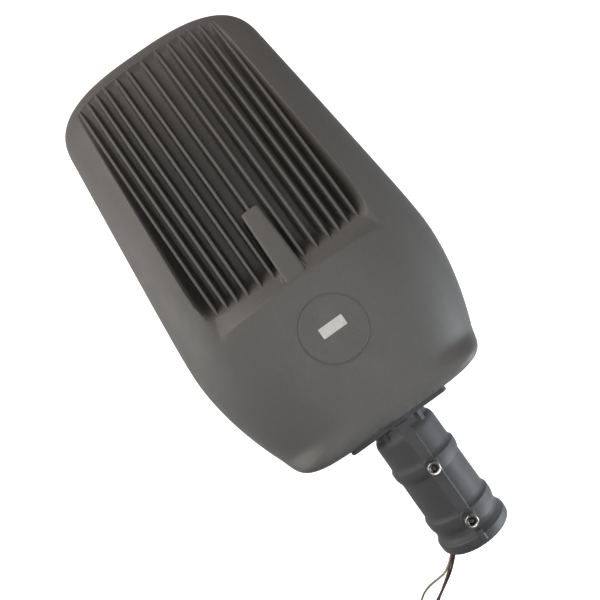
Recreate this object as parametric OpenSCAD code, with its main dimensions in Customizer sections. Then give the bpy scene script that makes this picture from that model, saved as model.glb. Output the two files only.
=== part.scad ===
// Street light head: die-cast finned housing on a pole spigot, driver bay with a hinged door.
// The origin is on the axis of the pole socket, in the plane of its mouth.
// +Y runs from the mouth to the nose, +Z is up (fins up), and the plane x = 0 is the plane of symmetry.

/* [Pole socket] */
// Outside diameter of the socket tube
tube_d = 70; // [69:0.5:74]
// Bore that takes the pole or bracket arm
bore_d = 62; // [58:0.5:63]
// Depth of the bore, from the mouth to its stop
bore_depth = 100; // [96:1:130]
// Bore of the cable passage behind the stop
passage_d = 48; // [44:1:52]
// Distance from the stop to the outer face of the flange
neck_l = 39; // [36:1:60]
// Half width of the neck where it meets the flange
neck_r = 30; // [26.5:0.5:31]
// Diameter of the lip round the mouth
lip_d = 78.2; // [76:0.2:82]
// Length of the flared lip
lip_l = 20; // [18:1:22]
// Diameter of the two raised bands
band_d = 75; // [73.5:0.5:77]
// Length of the inner band
band_l = 14; // [10:1:18]
// Width of the rib along the top
top_rib_w = 12; // [8:1:14]
// Height of that rib above the tube's wall
top_rib_h = 3; // [1.5:0.5:4]
// Width of the cable groove in the bottom of the bore
groove_w = 9; // [8.4:0.2:11]
// Depth of that groove below the bore's wall
groove_depth = 2.6; // [2.5:0.05:2.9]
// Width of the rib along the bottom, behind the groove
bottom_rib_w = 16; // [13:1:20]
// Height of that rib below the tube's wall
bottom_rib_h = 3.6; // [2.5:0.2:4]

/* [Clamp screws] */
// Distance of the inner screw from the mouth
clamp_inner_y = 91; // [84:1:94]
// Distance of the outer screw from the mouth
clamp_outer_y = 31; // [29:1:40]
// Diameter of the screws
clamp_d = 8; // [6:1:8]
// Length of the screws under the head
clamp_l = 12; // [12:1:16]
// Diameter of the socket heads
clamp_head_d = 13; // [12:0.5:14]
// Height of the socket heads
clamp_head_h = 8; // [5:0.5:9]
// Diameter of the bosses that they go through
clamp_boss_d = 15; // [13:0.5:17]
// Height of the bosses above the tube's wall
clamp_boss_h = 5; // [3:0.5:6]
// Inward travel that is left between the head and the boss
clamp_gap = 3.5; // [2:0.5:4]

/* [Flange] */
// Width of the flange
flange_w = 116; // [108:1:124]
// Height of the flange
flange_h = 56; // [54:1:57]
// Thickness of the flange
flange_t = 7; // [5:0.5:9]
// Corner radius of the flange
flange_r = 6; // [2:0.5:9]
// Amount that the flange stands out of the housing
flange_proud = 2.1; // [1:0.1:3]
// Thickness of the flange gasket
flange_gasket_t = 1.5; // [1:0.25:3]
// Distance between the bolts across the flange
bolt_span_x = 92; // [84:1:94]
// Distance between the bolts up the flange
bolt_span_z = 34; // [28:1:38]
// Diameter of the flange bolts
bolt_d = 6; // [5:1:8]
// Thickness of the housing wall that the flange is bolted to
bolt_wall = 8; // [6:0.5:10]

/* [Housing] */
// Width of the housing at its widest
body_w = 308.2; // [296:0.2:320]
// Length of the housing, without the spigot
body_l = 500; // [490:1:520]
// Distance of the widest place from the rear wall
widest_y = 162; // [150:1:175]
// Narrowing of each side towards the nose, in mm per mm
side_taper = 0.0934; // [0.07:0.001:0.1]
// Length of the rounded nose
nose_round = 65.7; // [55:0.1:75]
// Length of the rounded rear corners
rear_round = 31; // [22:0.5:34]
// Height of the roof above the socket axis
crown_z = 41; // [39:0.5:46]
// Fall of the roof from its highest place to the nose
nose_drop = 46.9; // [42:0.1:50]
// Fall of the roof from its highest place to the rear wall
rear_drop = 6.9; // [4:0.1:9]
// Level of the widest line below the socket axis
edge_z = 28; // [26:0.5:31]
// Level of the bottom rim below the socket axis
rim_z = 45; // [44:0.5:50]
// Wall of the casting
wall = 4; // [3:0.25:5]
// Thickness of the bottom rim
rim_wall = 5; // [4:0.25:6]
// Diameter of the flat pad on the roof
pad_d = 70.5; // [60:0.5:80]
// Distance of the pad's centre from the rear wall
pad_y = 113; // [105:1:122]

/* [Cooling fins] */
// Distance of the first fin from the middle one
fin_first = 19; // [16:0.5:22]
// Distance between the fins of the middle group
fin_middle_step = 16; // [13:0.5:16.5]
// Distance between the outer fins
fin_outer_step = 12.5; // [10:0.5:13]
// Thickness of the fins
fin_t = 3.2; // [2:0.1:4.5]
// Distance that the fins lie below the roof line at their rear ends
fin_drop = 10; // [6:0.5:13]
// Level of the floor between the fins, below the socket axis
floor_z = 13; // [8:0.5:16]
// Thickness of the heat sink's base, below that floor
base_t = 6; // [5:0.5:8]
// Distance of the fin field's rear edge from the rear wall
field_start = 168.4; // [166:0.2:174]
// Distance of the fin field's front edge from the tip of the nose
field_nose_gap = 20; // [16:1:26]
// Half width of the fin field at its widest
field_half_w = 103; // [98:0.5:108]
// Length of the cable duct that stands among the fins
duct_l = 95; // [70:1:120]
// Width of the cable duct at its front end
duct_w = 20.6; // [19:0.2:24]

/* [Light module] */
// Thickness of the circuit board
board_t = 1.6; // [1:0.2:3]
// Width of the circuit board
board_w = 196; // [192:1:198]
// Distance of the circuit board's front end from the tip of the nose
board_nose_gap = 44.5; // [43.5:0.5:60]
// Thickness of the lens plates
plate_t = 2.5; // [2:0.25:3.5]
// Distance between the lenses across the lamp
lens_step_x = 28; // [24:0.5:29]
// Distance between the lenses along the lamp
lens_step_y = 24; // [20:0.5:24.5]
// Diameter of a lens dome at its foot
lens_d = 20; // [15:0.5:21]
// Height of a lens dome
lens_h = 6; // [4:0.5:7]
// Side of a light-emitting chip
chip_w = 3.5; // [2:0.5:5]
// Thickness of the reflector tray
tray_t = 1; // [0.6:0.1:1.5]
// Thickness of the glass
glass_t = 4; // [3:0.5:4.5]
// Width of the ledge that the glass and the door seat on
ledge_w = 12; // [12:0.5:14]
// Depth of the glass ledge above the rim
glass_ledge = 11; // [11:0.5:13]
// Thickness of the glass gasket
glass_gasket_t = 1.5; // [1:0.25:2]
// Thickness of the glass frame
frame_t = 2.5; // [1.5:0.25:2.5]

/* [Driver bay] */
// Distance of the bay's front wall from the rear wall
bay_front = 161; // [158:0.5:162]
// Thickness of the door
door_t = 3.5; // [2.5:0.25:4.5]
// Gap round the door
door_gap = 1; // [0.6:0.1:1.4]
// Thickness of the door gasket
door_gasket_t = 1.5; // [1:0.25:2.5]
// Distance of the hinge axis from the rear wall
hinge_y = 171; // [170.8:0.1:171.5]
// Diameter of the hinge pins
pin_d = 4; // [3:0.25:4.5]
// Diameter of the hinge knuckles
knuckle_d = 8; // [7:0.25:8]
// Width of the hinge knuckles
knuckle_w = 16; // [12:1:20]
// Distance of each knuckle from the middle
knuckle_x = 84; // [74:1:92]
// Diameter of the door screws
door_screw_d = 5; // [4:0.5:5]
// Length of the driver's case
driver_l = 160; // [140:1:168]
// Width of the driver's case
driver_w = 66; // [56:1:66]
// Height of the driver's case
driver_h = 36; // [28:1:38]
// Diameter of the supply cable's sheath
cable_d = 9; // [7:0.5:11]
// Diameter of one core of the supply cable
core_d = 2.5; // [2:0.05:2.6]
// Level of the cable gland below the socket axis
gland_z = 10; // [8:0.5:10.5]

/* [Hidden] */
$fn = 48;

// Colours
cast_grey = [0.30, 0.30, 0.31];
bright_steel = [0.78, 0.78, 0.80];
black_rubber = [0.08, 0.08, 0.08];

// Clearances
skin_gap = 0.3;
thread_gap = 0.05;
hole_gap = 0.3;
running_gap = 0.05;
over = 1;

// Levels and places that follow from the sizes above
tube_r = tube_d / 2;
bore_r = bore_d / 2;
passage_r = passage_d / 2;
flange_y = bore_depth + neck_l;
rear_y = flange_y + flange_proud;
seat_y = flange_t + flange_gasket_t - flange_proud;
bay_rear = seat_y + bolt_wall;
shoulder_r = 11;
shoulder_y = flange_y - 5 - shoulder_r;
head_clear = 60;

// Housing shape, in the housing's own frame: y is counted from the rear wall.
// The plan is two straight tapered sides, a superellipse nose and squarer rear corners.
nose_power = 2.77;
rear_power = 4.9;
side_ease = 1.2;
rear_curve = 0.0016;
crown_y = widest_y - 13;
nose_start = body_l - nose_round;
field_end = body_l - field_nose_gap;
roof_power = 3;
roof_exp = 0.4545;
rear_boxiness = 20;

// Half width of the plan at y, before the corners are rounded
function half_w(y) =
    let (behind = widest_y - y)
    let (front_line = body_w / 2 + side_ease + side_taper * behind)
    let (rear_line = body_w / 2 + side_ease - rear_curve * behind * abs(behind))
    let (mean = (front_line + rear_line) / 2, half = (front_line - rear_line) / 2)
    mean - sqrt(half * half + side_ease * side_ease);

// Height of the roof on the middle line at y
function crown(y) = y > crown_y
    ? crown_z - nose_drop * pow((y - crown_y) / (body_l - crown_y), 2)
    : crown_z - rear_drop * pow((crown_y - y) / crown_y, 2);

// How far y has gone into the nose or the rear corners, from 0 to 1, for a plan drawn in by inset
function nose_share(y, inset) = max(0, (y - nose_start) / (nose_round - inset));
function rear_share(y, inset) = max(0, (rear_round - y) / (rear_round - inset));

// Half width of the plan at y, drawn in by inset
function edge_x(y, inset) =
    let (n = min(1, nose_share(y, inset)), r = min(1, rear_share(y, inset)))
    (half_w(y) - inset) * pow(1 - pow(n, nose_power), 1 / nose_power)
    * pow(1 - pow(r, rear_power), 1 / rear_power);

// Height of the roof for a level curve at share r of the way out
function roof_z(y, r, drop) =
    let (top = crown(y) - drop)
    let (n = roof_power + rear_boxiness * pow(min(1, rear_share(y, 0)), 2))
    -edge_z + (top + edge_z) * pow(max(0, 1 - pow(r, n)), roof_exp);

// Height of the outer skin at x, y
function skin_z(x, y) =
    let (u = abs(x) / half_w(y), n = nose_share(y, 0), r = rear_share(y, 0))
    let (share = y > nose_start ? pow(pow(u, nose_power) + pow(n, nose_power), 1 / nose_power)
        : y < rear_round ? pow(pow(u, rear_power) + pow(r, rear_power), 1 / rear_power) : u)
    roof_z(y, min(1, share), 0);

// Stations of the straight sides, and the angles of the rounded ends
side_steps = [for (i = [1:11]) rear_round + (nose_start - rear_round) * i / 12];
nose_angles = [0, 8, 16, 24, 32, 40, 48, 56, 64, 72, 80, 90];
rear_angles = [0.01, 1, 6, 18, 35, 52, 66, 78, 90];

// One half of a level curve as [x, y], from the nose round to the rear
function half_curve(r, inset) = concat(
    [for (i = [len(nose_angles) - 1:-1:0])
        let (a = nose_angles[i])
        let (y = nose_start + (nose_round - inset) * r * pow(sin(a), 2 / nose_power))
        [a == 90 ? 0 : (half_w(y) - inset) * r * pow(cos(a), 2 / nose_power), y]],
    [for (i = [len(side_steps) - 1:-1:0]) [(half_w(side_steps[i]) - inset) * r, side_steps[i]]],
    [for (a = rear_angles)
        let (y = rear_round - (rear_round - inset) * r * pow(sin(a), 2 / rear_power))
        [a == 90 ? 0 : (half_w(y) - inset) * r * pow(cos(a), 2 / rear_power), y]]);

// A closed ring of 3D points, made from one half and its mirror image
function full_ring(half) = concat(half, [for (i = [len(half) - 2:-1:1]) [-half[i][0], half[i][1], half[i][2]]]);

// Solid under the roof: rings of level curves from the bottom rim up to a ladder of facets on top
module roof_solid(inset, drop, bottom, levels) {
    base = [for (p = half_curve(0.985, inset)) [p[0], p[1], bottom]];
    waist = [for (p = half_curve(1, inset)) [p[0], p[1], -edge_z]];
    caps = [for (r = levels) [for (p = half_curve(r, inset)) [p[0], p[1], roof_z(p[1], r, drop)]]];
    rings = [for (h = concat([base, waist], caps)) full_ring(h)];
    n = len(rings[0]);
    m = len(base);
    last = (len(rings) - 1) * n;
    points = [for (ring = rings) each ring];
    bottom_face = [[for (i = [n - 1:-1:0]) i]];
    sides = [for (k = [0:len(rings) - 2], i = [0:n - 1])
        let (a = k * n + i, b = k * n + (i + 1) % n)
        each [[a, b, b + n], [a, b + n, a + n]]];
    ladder = [for (i = [0:m - 2])
        let (a = last + i, b = last + i + 1, c = last + (n - i - 1) % n, d = last + (n - i) % n)
        each i == 0 ? [[a, b, c]] : i == m - 2 ? [[a, b, d]] : [[a, b, c], [a, c, d]]];
    polyhedron(points, concat(bottom_face, sides, ladder), convexity = 6);
}

// Plan of the housing drawn in by inset, cut off at y0 and y1
function plan(inset, y0, y1) =
    let (ys = [for (p = half_curve(1, inset)) if (p[1] > y0 + 0.5 && p[1] < y1 - 0.5) p[1]])
    let (low = max(y0, inset), high = min(y1, body_l - inset))
    let (half = [for (y = concat([high], ys, [low])) [edge_x(y, inset), y]])
    let (side = [for (p = half) if (p[0] > 0.01) p])
    let (nose = y1 < body_l - inset ? [] : [[0, body_l - inset]])
    let (back = y0 > inset ? [] : [[0, inset]])
    concat(nose, side, back, [for (i = [len(side) - 1:-1:0]) [-side[i][0], side[i][1]]]);

// A slab with the housing's plan, from z0 up to z1
module slab(inset, y0, y1, z0, z1) {
    translate([0, 0, z0]) linear_extrude(z1 - z0) polygon(plan(inset, y0, y1));
}

// Floor of the fin field at y: a ramp down from the roof, a level floor and a rise to the nose
ramp_rise = crown_z + 0.5 + floor_z;
field_table = [[field_start, ramp_rise], [field_start + 12.5, 0.88 * ramp_rise],
    [field_start + 23.5, 0.745 * ramp_rise], [field_start + 30.5, 0.5 * ramp_rise],
    [field_start + 36.5, 0.24 * ramp_rise], [field_start + 42.5, 0.092 * ramp_rise],
    [field_start + 50.5, 0.02 * ramp_rise], [field_start + 60.5, 0],
    [field_end - 25, 0], [field_end - 15, 1.2], [field_end - 7, 4], [field_end, 8.5], [field_end + 6, 17]];
field_ys = concat([for (i = [0:7]) field_table[i][0]], [field_start + 120, field_start + 200],
    [for (i = [8:12]) field_table[i][0]]);
function field_floor(y) = -floor_z + lookup(y, field_table);

// Half width of the field at the top of its side walls, and how far the walls lean in
field_widths = [[field_start - 2, -8.5], [field_start + 3.5, -4.6], [field_start + 24.5, -3.5],
    [field_start + 37.5, -1.2], [field_start + 46.5, -0.2], [field_start + 59.5, 0],
    [field_start + 120.5, -2.8], [field_end - 7, -11.1], [field_end + 6, -12]];
field_leans = [[field_start, 1], [field_start + 24, 3], [field_start + 37, 7], [field_start + 47, 8],
    [field_end - 40, 8], [field_end - 7, 3], [field_end + 6, 2]];
function field_w(y) = field_half_w + lookup(y, field_widths);
function field_lean(y) = lookup(y, field_leans);

// The hollow of the fin field, or with grow the same hollow grown into a mould for the wall under it
module field_hollow(grow, sink) {
    sections = [for (y = field_ys)
        let (w = field_w(y) + grow, low = field_floor(y) - sink)
        let (lip = max(low + 0.5, skin_z(w, y) + 0.2))
        let (yy = y + (y < field_start + 61 ? -grow : y > field_end - 26 ? grow : 0))
        [[w - field_lean(y), yy, low], [w, yy, lip], [w + 1, yy, head_clear],
            [-w - 1, yy, head_clear], [-w, yy, lip], [-w + field_lean(y), yy, low]]];
    n = 6;
    last = (len(sections) - 1) * n;
    points = [for (s = sections) each s];
    sides = [for (k = [0:len(sections) - 2], i = [0:n - 1])
        let (a = k * n + i, b = k * n + (i + 1) % n)
        each [[a, b, b + n], [a, b + n, a + n]]];
    polyhedron(points, concat([[5, 4, 3, 2, 1, 0]], sides,
        [[for (i = [0:n - 1]) last + i]]), convexity = 4);
}

// Light module levels, counted down from the heat sink's base
base_z = -floor_z - base_t;
board_z = base_z - board_t;
lens_z = board_z - plate_t;
tray_z = lens_z - tray_t;
ledge_z = -rim_z + glass_ledge;
glass_top = ledge_z - glass_gasket_t;
glass_low = glass_top - glass_t;
frame_low = glass_low - frame_t;
shelf_top = ledge_z + 6;
inner_inset = rim_wall + 3;
opening_inset = rim_wall + ledge_w;
glass_inset = rim_wall + 9;
light_rear = bay_front + 18.5;
light_opening = light_rear + ledge_w;
cavity_rear = bay_front + 6;
board_rear = light_opening + 8;
board_l = body_l - board_nose_gap - board_rear;
module_y = board_rear + board_l / 2;
plate_edge_x = 1;
plate_edge_y = 3;
plate_gap_x = 10;
plate_gap_y = 2;
plate_w = (board_w - plate_gap_x) / 2 - plate_edge_x;
plate_l = (board_l - plate_gap_y) / 2 - plate_edge_y;
plate_x = (plate_w + plate_gap_x) / 2;
plate_y = (plate_l + plate_gap_y) / 2;
module_screw_x = plate_w / 2 - 4.5;
module_screw_y = plate_l / 2 - 3.5;
module_screw_d = 3;
module_screw_end = base_z + 4.5;
lens_columns = floor((plate_w - 8) / lens_step_x);
lens_rows = floor((plate_l - 4) / lens_step_y);
lens_radius = (pow(lens_d / 2, 2) + lens_h * lens_h) / (2 * lens_h);
duct_front = field_start + duct_l;
duct_bore_w = 10;
duct_bore_top = 24;
grommet_r = 8;
grommet_z = 8;

// Places of the frame screws: y and the side's outline gives x
frame_screw_inset = rim_wall + 4.6;
frame_screw_d = 4;
frame_screw_head_d = 8;
frame_screw_head_h = 2.6;
frame_first_y = light_rear + 5;
frame_last_y = body_l - 45.5;
frame_side_ys = [for (i = [0:3]) frame_first_y + i * (frame_last_y - frame_first_y) / 3];
frame_nose_x = 46;
frame_rear_x = 40;

// Driver bay levels
bay_ledge_z = -rim_z + door_t + door_gasket_t;
bay_shelf_top = bay_ledge_z + 6;
bay_opening_front = bay_front - 11.5;
recess_front = hinge_y - 5.5;
door_front = recess_front - door_gap - 0.5;
hinge_z = -rim_z + knuckle_d / 2;
door_screw_y = 34;
door_screw_inset = rim_wall + 4.3;
door_screw_head_d = 9;
door_screw_head_h = 3.6;
door_screw_l = 12;
door_boss_gap = 1;
door_rib_ys = [56, 104];
door_rib_l = 184;
door_rib_t = 3;
door_rib_h = 4.5;

// Bay equipment
driver_y = bay_front - 11 - driver_w / 2;
driver_top = 22;
driver_tab_l = 10;
driver_foot_x = driver_l / 2 + driver_tab_l / 2;
driver_foot_y = driver_w / 2 - 9;
surge_x = -64;
surge_y = 46;
surge_l = 46;
surge_w = 34;
surge_h = 24;
surge_top = 19;
surge_foot_y = surge_w / 2 + 4;
terminal_y = 66;
terminal_l = 38;
terminal_w = 22;
terminal_h = 20;
terminal_step = 12;
clamp_y = bay_rear + 19;
clamp_w = 8;
clamp_screw_x = 12;
clamp_pad_x = 34;
cable_end = bay_rear + 31;
sheath_end = 126;
earth_x = 46;
earth_y = 34;
earth_z = 8;
earth_screw_d = 5;
bay_screw_d = 4;
bay_screw_head_d = 7.6;
bay_screw_head_h = 2.6;
foot_d = 11;
ear_t = 3;

// Gland
gland_d = 20;
gland_hex_corners = 27.6;
gland_body_l = 5;
gland_dome_d = 22;
gland_dome_l = 8;
nut_t = 5;

// Breather vent in the door
vent_x = 56;
vent_y = 80;
vent_d = 12;
vent_cap_d = 18;
vent_cap_h = 4;

// Label on the roof pad
label_w = 28;
label_l = 11.5;
label_t = 0.2;
label_y = pad_y + 2.4;
pad_top = crown_z - 0.1;

// A cylinder along Y, from y0 to y1
module rod_y(r, y0, y1, x = 0, z = 0) {
    translate([x, y0, z]) rotate([-90, 0, 0]) cylinder(r = r, h = y1 - y0);
}

// A cylinder along X, from x0 to x1
module rod_x(r, x0, x1, y = 0, z = 0) {
    translate([x0, y, z]) rotate([0, 90, 0]) cylinder(r = r, h = x1 - x0);
}

// A cylinder along Z, from z0 to z1
module rod_z(r, z0, z1, x = 0, y = 0) {
    translate([x, y, z0]) cylinder(r = r, h = z1 - z0);
}

// A box between two corners
module box(a, b) {
    translate(a) cube(b - a);
}

// A rectangle with rounded corners, as points
function rounded(w, h, r) = [for (c = [[1, 1, 0], [-1, 1, 90], [-1, -1, 180], [1, -1, 270]], i = [0:6])
    [c[0] * (w / 2 - r) + r * cos(c[2] + 15 * i), c[1] * (h / 2 - r) + r * sin(c[2] + 15 * i)]];

// A plate with that outline, standing across Y from y0 to y1
module plate_across(w, h, r, y0, y1) {
    translate([0, y1, 0]) rotate([90, 0, 0]) linear_extrude(y1 - y0) polygon(rounded(w, h, r));
}

// Copies on both sides of the middle plane
module both_sides(x) {
    for (s = [-1, 1]) translate([s * x, 0, 0]) children();
}

// Copies at the four corners of a rectangle
module corners(x, y) {
    for (i = [-1, 1], j = [-1, 1]) translate([i * x, j * y, 0]) children();
}

// Moves the housing and what is in it to its place in front of the flange
module in_housing() {
    translate([0, rear_y, 0]) children();
}

// One fin as a thin plate: its crest follows the roof and sinks towards the rear
fin_xs = concat([for (i = [0:2]) fin_first + i * fin_middle_step],
    [for (i = [1:3]) fin_first + 2 * fin_middle_step + i * fin_outer_step]);
fin_rear = field_start + 23.5;
fin_steps = 14;
function fin_front(x) = field_end - 8.5 * pow(x / 88.5, 2);
module fin(x, rear) {
    front = fin_front(x);
    crest = [for (i = [0:fin_steps])
        let (s = i / fin_steps)
        let (y = front - (front - rear) * s)
        [y, skin_z(abs(x) + fin_t / 2, y) - fin_drop * s]];
    foot = -floor_z - base_t / 2;
    translate([x - fin_t / 2, 0, 0]) rotate([90, 0, 90]) linear_extrude(fin_t)
        polygon(concat([[rear, foot]], [for (i = [fin_steps:-1:0]) crest[i]], [[front, foot]]));
}

// Cable duct among the fins: a tapered block with rounded front corners and a sloping top
duct_rear_w = 25.6;
module duct() {
    r = 3;
    w = duct_w / 2;
    intersection() {
        translate([0, 0, -floor_z - 2]) linear_extrude(head_clear) polygon(concat(
            [[-duct_rear_w / 2, field_start - 2], [duct_rear_w / 2, field_start - 2]],
            [for (a = [0:15:90]) [w - r + r * cos(a), duct_front - r + r * sin(a)]],
            [for (a = [90:15:180]) [r - w + r * cos(a), duct_front - r + r * sin(a)]]));
        translate([-duct_rear_w, 0, 0]) rotate([90, 0, 90]) linear_extrude(2 * duct_rear_w) polygon([
            [field_start - 3, -floor_z - 2], [duct_front + 1, -floor_z - 2], [duct_front + 1, 28],
            [duct_front - 3, 30], [field_start + 25, crown_z - 3.5], [field_start - 3, crown_z - 0.5]]);
    }
}

// Everything that is cut out of the housing from below
module housing_hollow() {
    difference() {
        intersection() {
            roof_solid(wall, wall, -rim_z - 2 * over, [0.93, 0.84, 0.72, 0.55, 0.35, 0.15]);
            union() {
                slab(inner_inset, cavity_rear, body_l, shelf_top, head_clear);
                slab(inner_inset, bay_rear, bay_front, bay_shelf_top, head_clear);
            }
        }
        field_hollow(wall + 1, base_t);
        bay_bosses();
    }
    slab(rim_wall, light_rear, body_l, -rim_z - over, ledge_z);
    slab(opening_inset, light_opening, body_l, ledge_z - over, shelf_top + over);
    slab(rim_wall, 0, recess_front, -rim_z - over, bay_ledge_z);
    slab(opening_inset, opening_inset, bay_opening_front, bay_ledge_z - over, bay_shelf_top + over);
    box([-duct_bore_w / 2, cavity_rear - over, base_z - over],
        [duct_bore_w / 2, duct_front - 7, duct_bore_top]);
}

// Cast bosses that hang from the bay's roof
module bay_bosses() {
    for (i = [-1, 1], j = [-1, 1])
        rod_z(foot_d / 2, driver_top, head_clear, i * driver_foot_x, driver_y + j * driver_foot_y);
    for (j = [-1, 1]) rod_z(foot_d / 2, surge_top, head_clear, surge_x, surge_y + j * surge_foot_y);
    box([-clamp_pad_x / 2, clamp_y - clamp_w / 2, cable_d / 2 - gland_z],
        [clamp_pad_x / 2, clamp_y + clamp_w / 2, head_clear]);
    box([-terminal_l / 2 - 5, terminal_y - terminal_w / 2 + 2, 0],
        [terminal_l / 2 + 5, terminal_y + terminal_w / 2 - 2, head_clear]);
    rod_z(foot_d / 2, earth_z, head_clear, earth_x, earth_y);
}

// Threaded holes and seats in the housing, drawn at the size of the screws with a small gap
module housing_holes() {
    translate([0, -over, 0]) plate_across(flange_w + 2 * skin_gap, flange_h + 2 * skin_gap, flange_r,
        0, seat_y + over);
    for (i = [-1, 1], j = [-1, 1])
        rod_y(bolt_d / 2 + hole_gap, 0, bay_rear + over, i * bolt_span_x / 2, j * bolt_span_z / 2);
    rod_y(gland_d / 2 + hole_gap, 0, bay_rear + over, 0, -gland_z);
    rod_y(grommet_r, bay_front - over, cavity_rear + over, 0, grommet_z);
    each_frame_screw() rod_z(frame_screw_d / 2 + thread_gap, ledge_z - over, shelf_top - 1);
    each_module_screw() rod_z(module_screw_d / 2 + thread_gap, base_z - over, module_screw_end);
    each_bay_screw() rod_z(bay_screw_d / 2 + thread_gap, -over, 8);
    rod_z(earth_screw_d / 2 + thread_gap, earth_z - over, earth_z + 8, earth_x, earth_y);
    both_sides(edge_x(door_screw_y, door_screw_inset))
        rod_z(door_screw_d / 2 + door_boss_gap, bay_ledge_z - over, bay_shelf_top + over, 0, door_screw_y);
    both_sides(knuckle_x) hinge_pocket();
}

// Pocket for one knuckle, with the hole for its pin, which reaches into the wall on both sides
pin_l = knuckle_w + 14;
module hinge_pocket() {
    r = knuckle_d / 2 + 1;
    w = knuckle_w / 2 + skin_gap;
    box([-w, recess_front - over, -rim_z - over], [w, hinge_y + r, hinge_z + r]);
    rod_x(pin_d / 2, -pin_l / 2, pin_l / 2, hinge_y, hinge_z);
}

module housing() {
    color(cast_grey) in_housing() difference() {
        union() {
            difference() {
                roof_solid(0, 0, -rim_z, [0.985, 0.95, 0.9, 0.84, 0.76, 0.66, 0.52, 0.35, 0.15]);
                field_hollow(0, 0);
            }
            for (x = fin_xs, s = [-1, 1]) fin(s * x, fin_rear);
            fin(0, duct_front - 2);
            duct();
            rod_z(pad_d / 2, crown_z - wall, pad_top, 0, pad_y);
        }
        housing_hollow();
        housing_holes();
    }
}

// Socket, from the mouth at y = 0 to the flange: radius and y of the outside
band_r = band_d / 2;
lip_r = lip_d / 2;
waist_r = tube_r + 0.3;
outer_band_start = lip_l + 1;
outer_band_end = clamp_outer_y + 5.4;
inner_band_end = clamp_inner_y + 4;
inner_band_start = inner_band_end - band_l;

// The flange-side end of a band: a sharp edge, a small step and a hollow slope down to the tube
function band_edge(y) = [[band_r, y - 0.5], [band_r - 0.2, y], [band_r - 0.9, y + 0.4], [tube_r + 0.9, y + 1.7],
    [tube_r + 0.4, y + 3], [tube_r + 0.1, y + 4.5], [tube_r, y + 5.8]];

socket_outline = concat(
    [[lip_r - 3.6, 0], [lip_r - 1.7, 0.9], [lip_r - 0.6, 2.4], [lip_r - 0.1, 4.2], [lip_r, 6], [lip_r, 10.6],
        [lip_r - 0.2, 11.1], [lip_r - 0.9, 11.5], [tube_r + 2.6, 13.2], [tube_r + 1.6, 15], [tube_r + 0.8, 16.8],
        [waist_r, lip_l]],
    [[waist_r, outer_band_start], [band_r - 1.3, outer_band_start + 3], [band_r - 0.4, outer_band_start + 5.8],
        [band_r, outer_band_start + 8.5]],
    band_edge(outer_band_end),
    [[tube_r, inner_band_start], [band_r - 1.2, inner_band_start + 3], [band_r - 0.3, inner_band_start + 6],
        [band_r, inner_band_start + 8]],
    band_edge(inner_band_end),
    [for (a = [0:10:50]) [tube_r - shoulder_r + shoulder_r * cos(a), shoulder_y + shoulder_r * sin(a)]],
    [[neck_r + 0.4, flange_y - 3], [neck_r, flange_y]]);

module spigot() {
    color([0.33, 0.33, 0.35]) difference() {
        union() {
            rotate([-90, 0, 0]) rotate_extrude($fn = 96) polygon(concat([[0, 0]], socket_outline, [[0, flange_y]]));
            plate_across(flange_w, flange_h, flange_r, flange_y, flange_y + flange_t);
            for (a = [50, 130, 230, 310]) rotate([0, a, 0]) gusset();
            top_rib();
            box([-top_rib_w / 4, 5, 0], [top_rib_w / 4, 16, lip_r + 1.1]);
            box([-bottom_rib_w / 2, 2, -tube_r - bottom_rib_h], [bottom_rib_w / 2, shoulder_y - 1, 0]);
            clamp_bosses();
        }
        rod_y(bore_r, -over, bore_depth);
        rotate([-90, 0, 0]) cylinder(r1 = bore_r + 0.5, r2 = bore_r, h = 0.5);
        rod_y(passage_r, bore_depth - over, flange_y + flange_t + over);
        box([-groove_w / 2, -over, -bore_r - groove_depth], [groove_w / 2, shoulder_y - 4, -passage_r + 6]);
        for (y = [clamp_inner_y, clamp_outer_y])
            rod_z(clamp_d / 2 + thread_gap, 0, head_clear, 0, y);
        for (i = [-1, 1], j = [-1, 1])
            rod_y(bolt_d / 2 + thread_gap, flange_y - over, flange_y + flange_t + over,
                i * bolt_span_x / 2, j * bolt_span_z / 2);
    }
}

// Web between the neck and the flange, drawn along +X
module gusset() {
    t = 6;
    translate([0, 0, -t / 2]) linear_extrude(t)
        polygon([[passage_r + 1, shoulder_y - 4], [tube_r - 2, shoulder_y], [flange_h / 2 + 6, flange_y],
            [flange_h / 2 + 6, flange_y + 1], [passage_r + 1, flange_y + 1]]);
}

// Rib along the top, from the outer band to the flange
module top_rib() {
    top = tube_r + top_rib_h;
    translate([-top_rib_w / 2, 0, 0]) rotate([90, 0, 90]) linear_extrude(top_rib_w)
        polygon([[clamp_outer_y, 0], [clamp_outer_y, top], [shoulder_y - 4, top],
            [shoulder_y + shoulder_r - 2, neck_r + 3.5], [flange_y, neck_r + 1], [flange_y, 0]]);
}

module clamp_bosses() {
    for (y = [clamp_inner_y, clamp_outer_y]) rod_z(clamp_boss_d / 2, 0, tube_r + clamp_boss_h, 0, y);
}

// Socket-head screw that points down from z = 0 under its head
module socket_screw(d, l, head_d, head_h) {
    key = d * 0.75;
    difference() {
        union() {
            rod_z(d / 2, -l, 0);
            rod_z(head_d / 2, 0, head_h);
        }
        translate([0, 0, head_h - key * 0.65]) cylinder(r = key / sqrt(3), h = head_h, $fn = 6);
    }
}

// Pan-head screw that points up from z = 0 over its head, with a slot in the head
module pan_screw(d, l, head_d, head_h) {
    difference() {
        union() {
            rod_z(d / 2, 0, l);
            rod_z(head_d / 2, -head_h, 0);
        }
        box([-head_d, -head_d / 14, -head_h - over], [head_d, head_d / 14, -head_h / 2]);
    }
}

clamp_head_z = tube_r + clamp_boss_h + clamp_gap;
module clamp_screw(y) {
    color(bright_steel) translate([0, y, clamp_head_z])
        socket_screw(clamp_d, clamp_l, clamp_head_d, clamp_head_h);
}

module clamp_screw_inner() {
    clamp_screw(clamp_inner_y);
}

module clamp_screw_outer() {
    clamp_screw(clamp_outer_y);
}

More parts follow.
